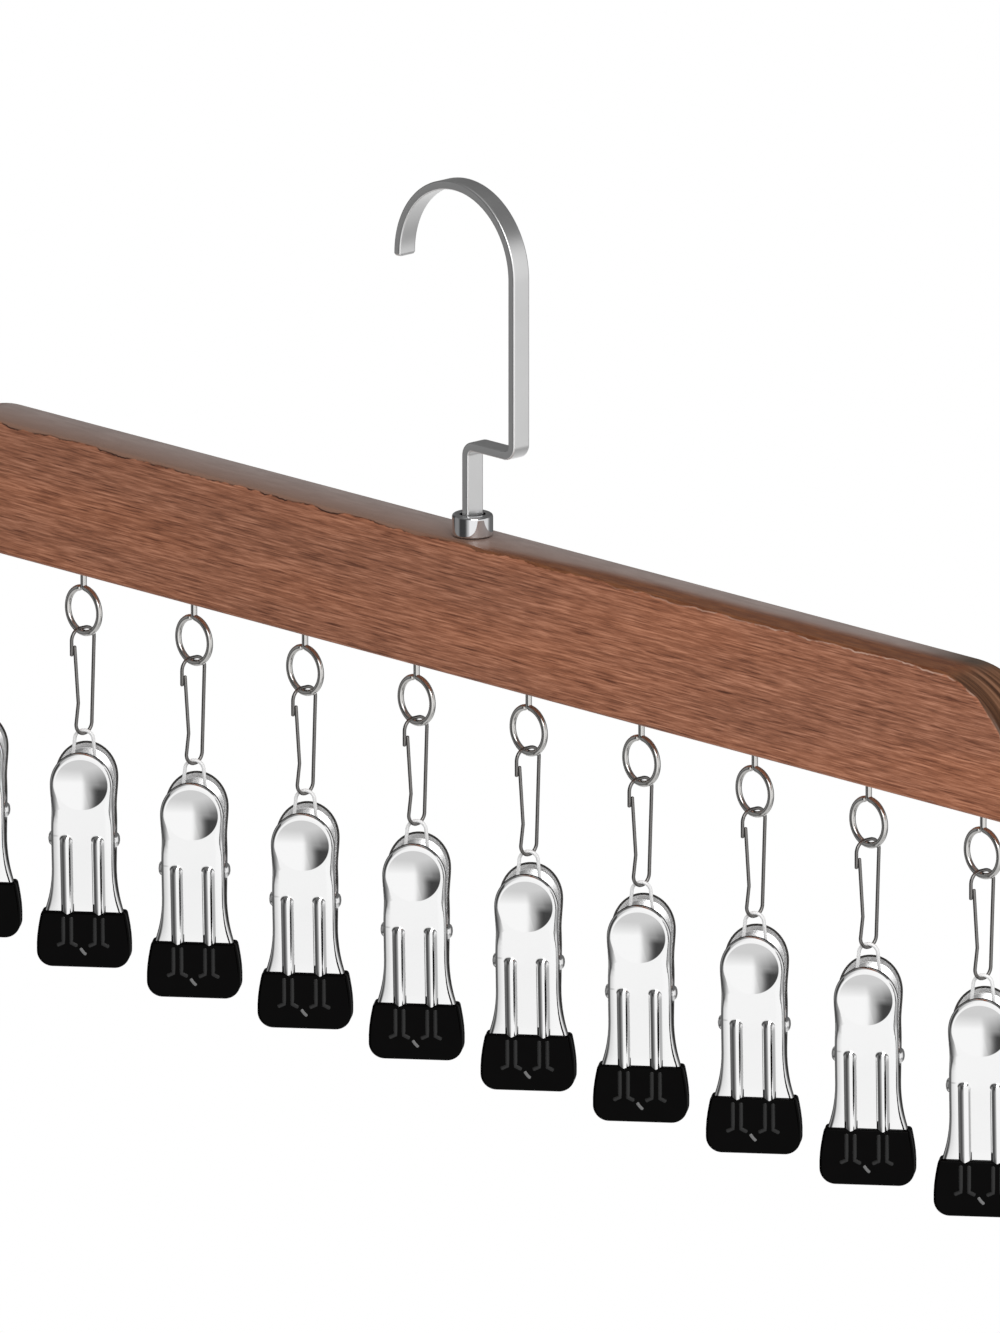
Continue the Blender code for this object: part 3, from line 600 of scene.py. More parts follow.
def stained_wood():
    """Fibres and pores along the bar, stripes round its ends, a painted reflection on the top, and
    painted light and shade. Places in metres.
    """
    chosen = settings().bar
    values = {"Coat Weight": 0.25, "Coat Roughness": 0.25, "Specular IOR Level": 0.25}
    finish, tree, shader = new_finish("stained wood", values)
    own = add(tree, "ShaderNodeTexCoord")
    place = own["Object"]
    spot = add(tree, "ShaderNodeSeparateXYZ", {0: place})
    normal = add(tree, "ShaderNodeSeparateXYZ", {0: own["Normal"]})
    streaks = grain(tree, place, (38, 200, 1600), 3.0)
    fibres = grain(tree, place, (110, 900, 1900), 4.0)
    bands = grain(tree, place, (7, 30, 45), 2.0)
    along = weighed(tree, [(streaks, 0.38), (fibres, 0.49), (bands, 0.13)])
    face = tinted(tree, along, [(0.36, chosen.dark), (0.49, chosen.middle), (0.63, chosen.light)])
    pores = ranged(tree, grain(tree, place, (90, 1500, 2400), 1.0), 0.60, 0.70)
    face = blended(tree, pores, face, PORE, "MULTIPLY")
    face = blended(tree, ranged(tree, bands, 0.40, 0.62), face, WARM_BAND, "MULTIPLY")
    # Painted light: the wood grows lighter towards the right end.
    face = blended(tree, ranged(tree, spot["X"], -0.10, 0.20), face, PAINTED_LIGHT_RIGHT, "MULTIPLY")
    # A wavy line along the rounded edges parts the front from the top and the ends.
    wander = grain(tree, place, (45, 10, 10), 2.0)
    jitter = grain(tree, place, (240, 60, 60), 2.0)
    wave = weighed(tree, [(wander, 0.7), (jitter, 0.3)])
    bend = calc(tree, "ARCSINE", calc(tree, "ABSOLUTE", normal["Y"]))
    line = ranged(tree, wave, 0.40, 0.60, -0.34, -0.86)
    past = weighed(tree, [(bend, 2 / math.pi), (line, 1.0)])
    off_face = ranged(tree, past, 0.05, -0.05, smooth=True)
    # The top is greyed by a painted reflection, which fades towards the front and darkens near the
    # right end. A brown band along its front edge, without it, widens to the right.
    band = weighed(tree, [
        (spot["Y"], 1.0),
        (wander, 0.0022),
        (ranged(tree, spot["X"], -0.03, 0.075, 0.0088, -0.0005, smooth=True), 1.0),
        (ranged(tree, spot["X"], 0.05, 0.20, 0.0, -0.0030), 1.0),
    ])
    brown, grey = (
        tinted(tree, fibres, [(0.35, dark), (0.65, light)])
        for dark, light in (BROWN_EDGE, PAINTED_TOP_REFLECTION)
    )
    grey = blended(tree, ranged(tree, spot["Y"], -0.009, 0.006), PAINTED_REFLECTION_FRONT, grey)
    grey = blended(tree, ranged(tree, spot["X"], 0.172, 0.196), grey, PAINTED_REFLECTION_DIM_END, "MULTIPLY")
    top = blended(tree, ranged(tree, band, -0.0036, 0.0026, smooth=True), brown, grey)
    upward = ranged(tree, normal["Z"], 0.05, 0.30)
    face = blended(tree, calc(tree, "MULTIPLY", upward, off_face), face, top)
    # Stripes of the growth rings run round the ends.
    end = tinted(tree, grain(tree, place, (16, 750, 16), 3.0), END_STRIPES)
    outward = ranged(tree, calc(tree, "ABSOLUTE", normal["X"]), 0.06, 0.30, smooth=True)
    face = blended(tree, calc(tree, "MULTIPLY", outward, off_face), face, end)
    # The wavy line carries painted shade on the left and a painted highlight on the right.
    near = ranged(tree, calc(tree, "ABSOLUTE", past), 0.13, 0.06)
    near = calc(tree, "MULTIPLY", near, ranged(tree, jitter, 0.35, 0.6))
    near = calc(tree, "MULTIPLY", near, ranged(tree, normal["Z"], -0.30, -0.05))
    left = calc(tree, "MULTIPLY", near, ranged(tree, spot["X"], 0.06, -0.04))
    right = calc(tree, "MULTIPLY", near, ranged(tree, spot["X"], 0.05, 0.14))
    face = blended(tree, left, face, PAINTED_SHADE_LINE, "MULTIPLY")
    face = blended(tree, right, face, PAINTED_HIGHLIGHT_LINE)
    relief = add(tree, "ShaderNodeBump", {"Height": along, "Strength": 0.35, "Distance": 0.00012})
    rough = ranged(tree, fibres, 0.3, 0.7, 0.38, 0.54)
    feed(tree, shader, {"Base Color": face, "Roughness": rough, "Normal": relief["Normal"]})
    return finish


# Stage


# Greys of the studio round the hanger, by azimuth in degrees, under and over the horizon. The
# camera stands at azimuth 47, and plates turned to it reflect azimuth 33.
STUDIO_LOW = [
    (-180, 0.08), (-170, 0.16), (-162, 0.45), (-154, 0.90), (-114, 0.95), (-104, 0.05), (-30, 0.05),
    (-13, 0.15), (-3, 0.21), (2, 0.29), (8, 0.34), (13, 0.39), (18, 0.48), (23, 0.58), (27, 0.75),
    (30, 0.93), (34, 1.00), (100, 1.00), (112, 0.28), (139, 0.40), (148, 0.12), (180, 0.08),
]
STUDIO_HIGH = [
    (-180, 0.16), (-150, 0.09), (-110, 0.16), (-98, 0.06), (-76, 0.05), (-66, 0.24), (-40, 0.26),
    (-26, 0.05), (4, 0.055), (8, 0.09), (11, 0.16), (15, 0.30), (18, 0.43), (23, 0.55), (27, 0.72),
    (31, 0.95), (35, 1.00), (95, 1.00), (112, 0.85), (126, 0.80), (139, 0.80), (150, 0.35),
    (160, 0.16), (180, 0.16),
]
# Heights of the direction between which the lower greys turn into the upper ones.
HORIZON = (-0.45, -0.28)
# Bands above and below them: start and end of the change, and grey.
STUDIO_BANDS = [(0.34, 0.52, 0.13), (0.80, 0.97, 0.35), (-0.48, -0.80, 0.66)]
# Grey of the light from all round. Then the lamp: its turn from the camera's azimuth and its
# elevation in degrees, its distance and size in metres, and its power in watts.
PLAIN_LIGHT = 0.80
LAMP_TURN, LAMP_ELEVATION, LAMP_DISTANCE, LAMP_SIZE, LAMP_POWER = 12, 38, 1.5, 1.0, 8.5


def studio_world():
    """White to the camera, plain light on the hanger, and a soft studio in its reflections."""
    world = bpy.data.worlds.new("studio")
    world.use_nodes = True
    tree = world.node_tree
    tree.nodes.clear()
    axes = add(tree, "ShaderNodeSeparateXYZ", {0: add(tree, "ShaderNodeTexCoord")["Generated"]})
    back = calc(tree, "MULTIPLY", axes["Y"], -1.0)
    turn = ranged(tree, calc(tree, "ARCTAN2", axes["X"], back), -math.pi, math.pi)
    low, high = (
        tinted(tree, turn, [((azimuth + 180) / 360, (grey,) * 3) for azimuth, grey in stops])
        for stops in (STUDIO_LOW, STUDIO_HIGH)
    )
    studio = blended(tree, ranged(tree, axes["Z"], *HORIZON), low, high)
    for start, end, grey in STUDIO_BANDS:
        studio = blended(tree, ranged(tree, axes["Z"], start, end), studio, (grey,) * 3)
    rays = add(tree, "ShaderNodeLightPath")
    light = blended(tree, rays["Is Glossy Ray"], (PLAIN_LIGHT,) * 3, studio)
    light = blended(tree, rays["Is Camera Ray"], light, (1, 1, 1))
    background = add(tree, "ShaderNodeBackground", {"Color": light})
    add(tree, "ShaderNodeOutputWorld", {"Surface": background[0]})
    bpy.context.scene.world = world


def aimed(name, data, place, direction):
    made = new_object(name, data)
    made.location = place
    made.rotation_mode = "QUATERNION"
    made.rotation_quaternion = direction.to_track_quat("-Z", "Y")
    return made


def direction_of(azimuth, elevation):
    a, e = math.radians(azimuth), math.radians(elevation)
    return Vector((math.sin(a) * math.cos(e), -math.cos(a) * math.cos(e), math.sin(e)))


class ClipHangerStage(bpy.types.Operator):
    """Camera, lamp, studio world and pale floor"""

    bl_idname = "clip_hanger.stage"
    bl_label = "Stage"

    def execute(self, context):
        chosen = settings().stage
        scene = context.scene
        scene.view_settings.view_transform = "Standard"
        height = BAR_TOP - settings().bar.height + chosen.aim_up
        aim = Vector((STEM_X + chosen.aim_across, 0, height))
        data = bpy.data.cameras.new("camera")
        data.lens = chosen.lens
        data.clip_end = 30.0
        toward = direction_of(chosen.azimuth, chosen.elevation)
        scene.camera = aimed("camera", data, aim + toward * chosen.distance, -toward)
        studio_world()
        data = bpy.data.lights.new("key", "AREA")
        data.shape = "DISK"
        data.size = LAMP_SIZE
        data.energy = LAMP_POWER
        toward = direction_of(chosen.azimuth + LAMP_TURN, LAMP_ELEVATION)
        place = aim + toward * LAMP_DISTANCE
        aimed("key", data, place, aim - place)
        edit = bmesh.new()
        edit.faces.new([edit.verts.new((x, y, 0)) for x, y in circle(chosen.floor_radius, 96)])
        ground = new_object("floor", mesh_of(edit, "floor"))
        ground.location = (STEM_X, 0, -chosen.floor_drop)
        pale = {"Base Color": (*chosen.floor_tint, 1), "Roughness": 0.9}
        ground.data.materials.append(new_finish("floor", pale)[0])
        ground.visible_glossy = False
        return {"FINISHED"}


# Pieces


def bar_outline(chosen):
    """The bar's outline in XZ, from the bar's bottom and the stem."""
    end = (BAR_HIGH.x - BAR_LOW.x) / 2
    right = arc((end - chosen.foot, chosen.foot), chosen.foot, -90, 0, 8)
    centre = (end - chosen.shoulder, chosen.height - chosen.shoulder)
    right += arc(centre, chosen.shoulder, 0, 90, 28)[1:]
    return right + [(-x, z) for x, z in reversed(right)]


class ClipHangerBar(bpy.types.Operator):
    """The hardwood bar with the holes for the collar, the stem and the nut"""

    bl_idname = "clip_hanger.bar"
    bl_label = "Bar"

    def execute(self, context):
        chosen = settings().bar
        blank = slab(bar_outline(chosen), -BAR_FACE, BAR_FACE, "bar_board")
        blank = rounded(blank, chosen.edge, 5, 40)
        over = 2 * MM
        seat = chosen.height - chosen.spigot_depth
        profile = [(0, chosen.height + over), (chosen.spigot_bore, chosen.height + over)]
        profile += [(chosen.spigot_bore, seat), (chosen.stem_bore, seat)]
        profile += [(chosen.stem_bore, chosen.nut_depth), (chosen.nut_bore, chosen.nut_depth)]
        profile += [(chosen.nut_bore, -over), (0, -over)]
        board = combined(blank, ("DIFFERENCE", spun("bores", profile, 48, None)))
        board.transform(Matrix.Translation((STEM_X, 0, BAR_TOP - chosen.height)))
        piece("bar_board", shaded(board, 35), stained_wood(), "bar", ["bar"])
        return {"FINISHED"}


def hook_centreline(chosen):
    """Middle of the strip in XZ, from the collar to the tip."""
    middle = chosen.arch + chosen.thickness / 2
    upright = STEM_X + chosen.jog
    foot = FERRULE_HIGH.z - chosen.cup_depth
    jog = FERRULE_HIGH.z + chosen.jog_height
    bend = chosen.bend
    path = [(STEM_X, foot), (STEM_X, foot + chosen.thickness)]
    path += arc((STEM_X + bend, jog - bend), bend, 180, 90, 10)
    path += arc((upright - bend, jog + bend), bend, -90, 0, 10)
    path += arc((0, -chosen.arch), middle, 0, 180, 64)
    tip = -chosen.arch - chosen.tip_drop
    return path + [(-middle, tip + chosen.corner), (-middle, tip)]


def rounded_section(width, thickness, corner, count):
    """A rounded rectangle: thickness along its first axis and width along its second."""
    half_u, half_v = thickness / 2 - corner, width / 2 - corner
    ring = []
    for quarter, (u, v) in enumerate([(1, 1), (-1, 1), (-1, -1), (1, -1)]):
        start = quarter * 90
        ring += arc((u * half_u, v * half_v), corner, start, start + 90, count)
    return ring


class ClipHangerHook(bpy.types.Operator):
    """The swivelling hook: a bent flat strip with a threaded stem"""

    bl_idname = "clip_hanger.hook"
    bl_label = "Hook"
    # Size of the strip's end faces, which are rounded a little.
    END_SCALE = 0.86

    def execute(self, context):
        chosen = settings().hook
        edit = bmesh.new()
        path = [(x, 0, z) for x, z in hook_centreline(chosen)]
        ring = rounded_section(chosen.width, chosen.thickness, chosen.corner, 5)
        scales = [self.END_SCALE] + [1] * (len(path) - 2) + [self.END_SCALE]
        swept(edit, path, ring, side=Vector((0, 1, 0)), scales=scales)
        top = FERRULE_HIGH.z - chosen.cup_depth + chosen.thickness / 2
        profile = [(0, top), (chosen.stem, top)]
        height = top - chosen.thickness
        root = chosen.stem - chosen.thread_pitch / 2
        while height > HOOK_FOOT + 2 * chosen.thread_pitch:
            profile += [(chosen.stem, height), (root, height - chosen.thread_pitch / 2)]
            height -= chosen.thread_pitch
        profile += [(chosen.stem, height), (root, HOOK_FOOT), (0, HOOK_FOOT)]
        turned(edit, profile, 20, ON_STEM)
        mesh = shaded(mesh_of(edit, "hook_strip"), 32)
        piece("hook_strip", mesh, metal("satin nickel"), "hook", ["hook"])
        return {"FINISHED"}


class ClipHangerCollar(bpy.types.Operator):
    """The turned collar on the bar, and the washer and nut under it"""

    bl_idname = "clip_hanger.collar"
    bl_label = "Collar, washer and nut"

    def execute(self, context):
        radius = (FERRULE_HIGH.x - FERRULE_LOW.x) / 2
        spigot, wall = 3.5 * MM, 2.3 * MM
        cup, cup_depth = 3.55 * MM, 5.2 * MM
        seam, lip, edge = 0.3 * MM, 0.35 * MM, 0.9 * MM
        top, low = FERRULE_HIGH.z, BAR_TOP + seam
        outside = arc((radius - edge, top - edge), edge, 90, 0, 6)
        foot = arc((radius - lip, low + lip), lip, 0, -90, 3)
        inside = [(spigot, low), (spigot, FERRULE_LOW.z + lip), (spigot - lip, FERRULE_LOW.z)]
        inside += [(wall, FERRULE_LOW.z), (wall, top - cup_depth), (cup, top - cup_depth)]
        profile = outside + foot + inside + arc((cup + lip, top - lip), lip, 180, 90, 3)
        collar = shaded(spun("collar", profile, 64), 40)
        piece("collar", collar, metal("polished chrome"), "bar", ["ferrule"])
        self.washer_and_nut()
        return {"FINISHED"}

    def washer_and_nut(self):
        low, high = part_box("hook_washer")
        radius, bore, lip = (high.x - low.x) / 2, 2.3 * MM, 0.15 * MM
        profile = [(radius - lip, high.z), (radius, high.z - lip), (radius, low.z + lip)]
        profile += [(radius - lip, low.z), (bore, low.z), (bore, high.z)]
        plated = metal("bright sheet")
        washer = shaded(spun("washer", profile, 48), 30)
        piece("washer", washer, plated, "hook", ["hook_washer"])
        low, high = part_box("hook_nut")
        flats = (high.y - low.y) / 2
        hexagon = circle(flats / math.cos(math.pi / 6), 6)
        edit = bmesh.new()
        lower = [edit.verts.new((x + STEM_X, y, low.z)) for x, y in hexagon]
        upper = [edit.verts.new((x + STEM_X, y, high.z)) for x, y in hexagon]
        bridge(edit, lower, upper)
        edit.faces.new(lower[::-1])
        edit.faces.new(upper)
        blank = mesh_of(edit, "nut")
        # A cone over each end takes the hexagon's corners off. They reach flats / cos 30 degrees.
        corner = flats * 1.155
        rim = [(0, low.z - lip), (flats, low.z - lip), (corner, low.z + 3 * lip)]
        rim += [(corner, high.z - 3 * lip), (flats, high.z + lip), (0, high.z + lip)]
        hole = [(0, low.z - lip), (bore, low.z - lip), (bore, high.z + lip), (0, high.z + lip)]
        cuts = ("INTERSECT", spun("rim", rim, 48)), ("DIFFERENCE", spun("hole", hole, 32))
        nut = shaded(combined(blank, *cuts), 25)
        piece("nut", nut, plated, "hook", ["hook_nut"])


class ClipHangerEyes(bpy.types.Operator):
    """A screw eye for each clip: one wire, bent to a ring whose end stops at the shank"""

    bl_idname = "clip_hanger.eyes"
    bl_label = "Screw eyes"

    def execute(self, context):
        chosen = settings().eye
        centre = EYE_HANG + chosen.radius
        bar_bottom = BAR_TOP - settings().bar.height
        bend, radius = chosen.bend, chosen.radius
        # The shank comes down on the ring's middle line and turns into the ring.
        lean = math.degrees(math.asin(bend / (radius + bend)))
        start = centre + math.cos(math.radians(lean)) * (radius + bend)
        path = [(0, bar_bottom + depth) for depth in (8 * MM, 4 * MM, 0)]
        path += arc((bend, start), bend, 180, 270 - lean, 5)
        path += arc((0, centre), radius, 90 - lean, -257, 60)
        mesh = wire("screw_eye", [(x, 0, z) for x, z in path], chosen.wire, 14)
        bright = metal("bright wire")
        for name in CLIP_NAMES:
            place = Matrix.Translation((JOINT_PLACES[f"{name}_swing"].x, 0, 0))
            piece(f"{name}_screw_eye", mesh, bright, "bar", ["bar"], place)
        return {"FINISHED"}


class ClipHangerLinks(bpy.types.Operator):
    """The long wire link of each clip, and the bail that hangs in it"""

    bl_idname = "clip_hanger.links"
    bl_label = "Links and bails"
    # Between the link's two ends, and how far the bail sinks into the link's wire.
    END_GAP, BAIL_SINK = 0.15 * MM, 0.12 * MM

    def execute(self, context):
        chosen = settings().link
        link = self.link_mesh(chosen)
        bail = self.bail_mesh(chosen)
        for name in CLIP_NAMES:
            body = f"{name}_link"
            place = Matrix.Translation(JOINT_PLACES[f"{name}_swing"])
            turn = place @ Matrix.Rotation(clip_turn(name), 4, "Z")
            metals = metal("dark wire"), metal("bail painted highlight wire")
            piece(f"{body}_wire", link, metals[0], body, [body], place)
            piece(f"{name}_bail", bail, metals[1], body, [body], turn)
        return {"FINISHED"}

    def link_mesh(self, chosen):
        top = chosen.top - chosen.top_radius
        front = -chosen.offset - chosen.top_radius
        bottom = chosen.top - chosen.height + chosen.bottom_radius
        beside = front + 2 * chosen.wire + self.END_GAP
        path = [(front, top - chosen.stub), (front, top - chosen.stub / 2)]
        flat, corner = chosen.top_radius - chosen.top_corner, chosen.top_corner
        crown = chosen.top - corner
        path += arc((-chosen.offset - flat, crown), corner, 180, 90, 14)
        path += arc((-chosen.offset + flat, crown), corner, 90, 0, 14)
        path += arc((0, bottom), chosen.bottom_radius, 0, -180, 22)
        path += [(-chosen.kink_inset, -chosen.kink_depth), (beside, -chosen.end_depth)]
        return wire("link_wire", [(0, y, z) for y, z in path], chosen.wire)

    def bail_mesh(self, chosen):
        low = PIVOT_HEIGHT - EYE_HANG + chosen.bail_crossing
        top = chosen.top - chosen.height + 2 * chosen.wire - self.BAIL_SINK
        corner, side = chosen.bail_corner, chosen.bail_half_width - chosen.bail_corner
        path = arc((0, top - chosen.bail_top_radius), chosen.bail_top_radius, 0, 180, 24)
        path += arc((-side, low + corner), corner, 180, 270, 6)
        path += arc((side, low + corner), corner, -90, 0, 6)
        return wire("bail", [(x, 0, z) for x, z in path], chosen.wire, cyclic=True)


def clip_turn(name):
    """How far a clip is turned about the vertical, from its jaws' axis."""
    axis = next(j["axis"] for j in frame["joints"] if j["name"] == f"{name}_rear_open")
    return math.atan2(axis[1], axis[0])


def jaws():
    """Each clip's name, and its jaws' sides and places. A jaw's plate is on its own -Y side."""
    for name in CLIP_NAMES:
        pivot = Matrix.Translation(JOINT_PLACES[f"{name}_front_open"])
        for side, turn in (("front", 0), ("rear", math.pi)):
            yield name, side, pivot @ Matrix.Rotation(clip_turn(name) + turn, 4, "Z")


def eased(value, start, end, first, last):
    """A smooth change from first to last as value goes from start to end."""
    share = min(max((value - start) / (end - start), 0), 1)
    return first + (last - first) * (1 - math.cos(math.pi * share)) / 2


class Plate:
    """A pressed plate: its outline, its bends, and how far each point is pressed in."""

    CHAMFER = 0.1 * MM
    TAB_FLANGE = 1.15 * MM
    # From the face round the rim: bright rounding and side, cut edge in dark painted shade, dull
    # inside. On the tab the painted shade also covers the outer third of the rounding and the side.
    RIM_FINISHES = (0, 0, 0, 0, 2, 2, 2, 1)
    TAB_FINISHES = (0, 0, 2, 2, 2, 2, 2, 1)
    # Depths in mm: of the waist, of the body's two ends, and of where the foot is widest.
    WIDTH_KNOTS = (17.2, 24.1, 34, 53)
    # Depths in mm between which the folded side grows under the tab, and goes in the sleeve.
    FLANGE_GROWS, FLANGE_GOES = (11, 21), (46.5, 52.5)
    # Rows of points, by depth in mm, on the tab's lower half and on the rest of the plate.
    TAB_DEPTHS = (10.5, 11.3, 12.2, 13.2, 14.4, 15.4, 16.2)
    DEPTHS = (
        17, 18.2, 19.6, 21, 22.4, 23.6, 24.15, 24.3, 24.5, 24.8, 25.15, 25.5, 26, 27, 28.4, 30,
        32, 34, 36, 38, 40, 41.5, 43, 44.4, 45.6, 46.6, 48, 50.5, 53.5, 57.5, 59.1,
    )
    # Columns of points over half a rib, in half widths of the rib, and between the ribs, in mm.
    RIB_SHARES = (0.2, 0.4, 0.6, 0.75, 0.9, 1, 1.1)
    MIDDLE_COLUMNS = (-1.3, 0, 1.3)
    # Width of the rounding along the side, in mm: above a depth, it goes from one depth to
    # another and from one width to another. It is broadest at the neck.
    FOLDS = (
        (16, 9.5, 13.5, 1.0, 1.6),
        (34, 16, 21, 1.6, 0.85),
        (46, 36, 45, 0.85, 1.30),
        (math.inf, 46, 52, 1.30, 0.45),
    )
    # Half the length over which the plate bends, at its pivot and at its mouth.
    BEND_REACH = 1.6 * MM
    # Rings of points from the dimple's middle, in its radii, with the last two outside it.
    DIMPLE_SHARES = (0.15, 0.3, 0.45, 0.6, 0.74, 0.86, 0.94, 0.985, 1.0, 1.012, 1.035)

    def __init__(self, chosen):
        self.c = chosen
        self.rim = chosen.sheet + self.CHAMFER + 0.02 * MM
        shares = [*(-share for share in self.RIB_SHARES[::-1]), 0, *self.RIB_SHARES]
        across = [chosen.rib_offset + chosen.rib * share for share in shares]
        middle = [x * MM for x in self.MIDDLE_COLUMNS]
        self.columns = [-x for x in reversed(across)] + middle + across
        foot = [chosen.height - 0.7 * MM, chosen.height]
        self.depths = [depth * MM for depth in self.DEPTHS] + foot

    def half_width(self, depth):
        c = self.c
        waist, start, end, foot = (knot * MM for knot in self.WIDTH_KNOTS)
        if depth <= c.tab_height:
            return c.tab * math.sqrt(max(1 - (1 - depth / c.tab_height) ** 2, 0))
        if depth <= waist:
            return eased(depth, c.tab_height, waist, c.tab, c.waist)
        if depth <= end:
            return eased(depth, waist, start, c.waist, c.body)
        if depth <= c.mouth_depth:
            return c.body + (c.mouth - c.body) * ((depth - end) / (c.mouth_depth - end)) ** 2
        if depth <= c.height - c.foot_corner:
            return eased(depth, c.mouth_depth, foot, c.mouth, c.foot)
        drop = depth - (c.height - c.foot_corner)
        return c.foot - c.foot_corner + math.sqrt(max(c.foot_corner**2 - drop**2, 0))

    def flange(self, depth):
        """Depth of the folded side, which is shallow at the tab and gone at the foot."""
        grows, goes = ((a * MM, b * MM) for a, b in (self.FLANGE_GROWS, self.FLANGE_GOES))
        if depth < goes[0]:
            return eased(depth, *grows, self.TAB_FLANGE, self.c.flange)
        return eased(depth, *goes, self.c.flange, self.rim)

    def fold(self, depth):
        fold = next(fold for fold in self.FOLDS if depth < fold[0] * MM)
        return eased(depth, *(value * MM for value in fold[1:]))

    def spread(self, depth):
        """Distance of the outer face from the middle plane, with rounded bends."""
        c = self.c
        slopes = [
            (c.pivot_spread - c.top_spread) / c.pivot_depth,
            (c.foot_spread - c.pivot_spread) / (c.mouth_depth - c.pivot_depth),
            0,
        ]
        total = c.top_spread + slopes[0] * depth
        for knot, before, after in zip((c.pivot_depth, c.mouth_depth), slopes, slopes[1:]):
            reach = self.BEND_REACH
            past = min(max(depth - knot + reach, 0), 2 * reach)
            total += (after - before) * past**2 / (4 * reach)
            total += (after - before) * max(depth - knot - reach, 0)
        return total

    def pressed(self, x, depth):
        """How far the sheet is pressed inwards at a point, less than zero on a rib."""
        c = self.c
        away = math.hypot(x, depth - c.dimple_place)
        if away < c.dimple:
            ball = (c.dimple**2 + c.dimple_depth**2) / (2 * c.dimple_depth)
            return math.sqrt(ball**2 - away**2) - (ball - c.dimple_depth)
        side = abs(abs(x) - c.rib_offset) / c.rib
        end = max((c.rib_top + c.rib - depth) / c.rib, 0)
        return -c.rib_rise * max(1 - side**2 - end**2, 0)

    def outline(self):
        """The outline from the top clockwise, as (x, depth)."""
        c = self.c
        angles = [math.radians(90 * i / 15) for i in range(16)]
        right = [(c.tab * math.sin(a), c.tab_height * (1 - math.cos(a))) for a in angles]
        right += [(self.half_width(depth * MM), depth * MM) for depth in self.TAB_DEPTHS]
        self.tab_count = len(right)
        right += [(self.half_width(depth), depth) for depth in self.depths]
        bottom = [(x, self.depths[-1]) for x in reversed(self.columns)]
        return right + bottom + [(-x, depth) for x, depth in reversed(right[1:])]

    def skin(self, edit, outline, normals, inset, back):
        """The face of the plate, inside its outline. It gives back the points on the outline."""

        def point(x, depth):
            level = back + self.pressed(x, depth) - self.spread(depth)
            return edit.verts.new((x, level, self.c.pivot_depth - depth))

        flat = []
        for (x, depth), (nx, nd) in zip(outline, normals):
            reach = inset(depth)
            flat.append((x - nx * reach, depth - nd * reach))
        border = [point(x, depth) for x, depth in flat]
        rows, right_start, count = [], self.tab_count, len(self.depths)
        bottom_start = right_start + count
        left_start = bottom_start + len(self.columns)
        for number, depth in enumerate(self.depths):
            right = border[right_start + number]
            left = border[left_start + count - 1 - number]
            if number == count - 1:
                inner = border[bottom_start:left_start][::-1]
            else:
                inner = [point(x, depth) for x in self.columns]
            rows.append([left, *inner, right])
        for upper, lower in zip(rows, rows[1:]):
            bridge(edit, upper, lower, closed=False)
        loop = border[:right_start] + rows[0][::-1] + border[left_start + count :]
        self.dimple_rings(edit, loop, point)
        return border

    def dimple_rings(self, edit, loop, point):
        c = self.c
        middle = Vector((0, c.dimple_place))
        ends = [Vector((v.co.x, c.pivot_depth - v.co.z)) - middle for v in loop]
        centre = point(*middle)
        previous = None
        for share in self.DIMPLE_SHARES + (None,):
            ring = []
            for end in ends:
                reach = c.dimple * (share or self.DIMPLE_SHARES[-1])
                if share is None:
                    reach = (end.length + reach) / 2
                ring.append(point(*(middle + end.normalized() * reach)))
            if previous is None:
                for a, b in zip(ring, ring[1:] + ring[:1]):
                    edit.faces.new((centre, a, b))
            else:
                bridge(edit, previous, ring)
            previous = ring
        bridge(edit, previous, loop)

    def build(self, edit):
        outline = self.outline()
        normals = []
        for before, after in zip(outline[-1:] + outline[:-1], outline[1:] + outline[:1]):
            across, down = after[0] - before[0], after[1] - before[1]
            size = math.hypot(across, down)
            normals.append((down / size, -across / size))
        thick, nick = self.c.sheet, self.CHAMFER
        front = self.skin(edit, outline, normals, self.fold, 0)
        outside = set(edit.faces)
        rear = self.skin(edit, outline, normals, lambda depth: thick, thick)
        for face in set(edit.faces) - outside:
            face.material_index = 1
        # Three rings round the fold, then four along the folded side and its chamfered edge.
        rings = [front]
        for step in range(1, 8):
            ring = []
            for (x, depth), (nx, nd) in zip(outline, normals):
                radius, flange = self.fold(depth), self.flange(depth)
                # On a shallow side the fold ends above the chamfer.
                deep = min(radius, flange - 1.2 * nick)
                angle = math.radians(30 * step)
                out, back = {
                    4: (0, flange - nick),
                    5: (nick, flange),
                    6: (thick - nick, flange),
                    7: (thick, flange - nick),
                }.get(step, (radius * (1 - math.sin(angle)), deep * (1 - math.cos(angle))))
                level = back - self.spread(depth)
                place = (x - nx * out, level, self.c.pivot_depth - depth + nd * out)
                ring.append(edit.verts.new(place))
            rings.append(ring)
        rings.append(rear)
        for step, (first, second) in enumerate(zip(rings, rings[1:])):
            for (_, depth), face in zip(outline, bridge(edit, first, second)):
                finishes = self.TAB_FINISHES if depth < self.c.tab_height else self.RIM_FINISHES
                face.material_index = finishes[step]


# Where an outer ear starts behind the plate's face, the room round its hole and beside the inner
# ear, how far the inner ear's hole sinks into the pin, and how deep the outer ear lies in the
# folded side.
EAR_START, EAR_ROOM, PIN_SINK, EAR_SINK = 1.1 * MM, 0.3 * MM, 0.1 * MM, 0.03 * MM


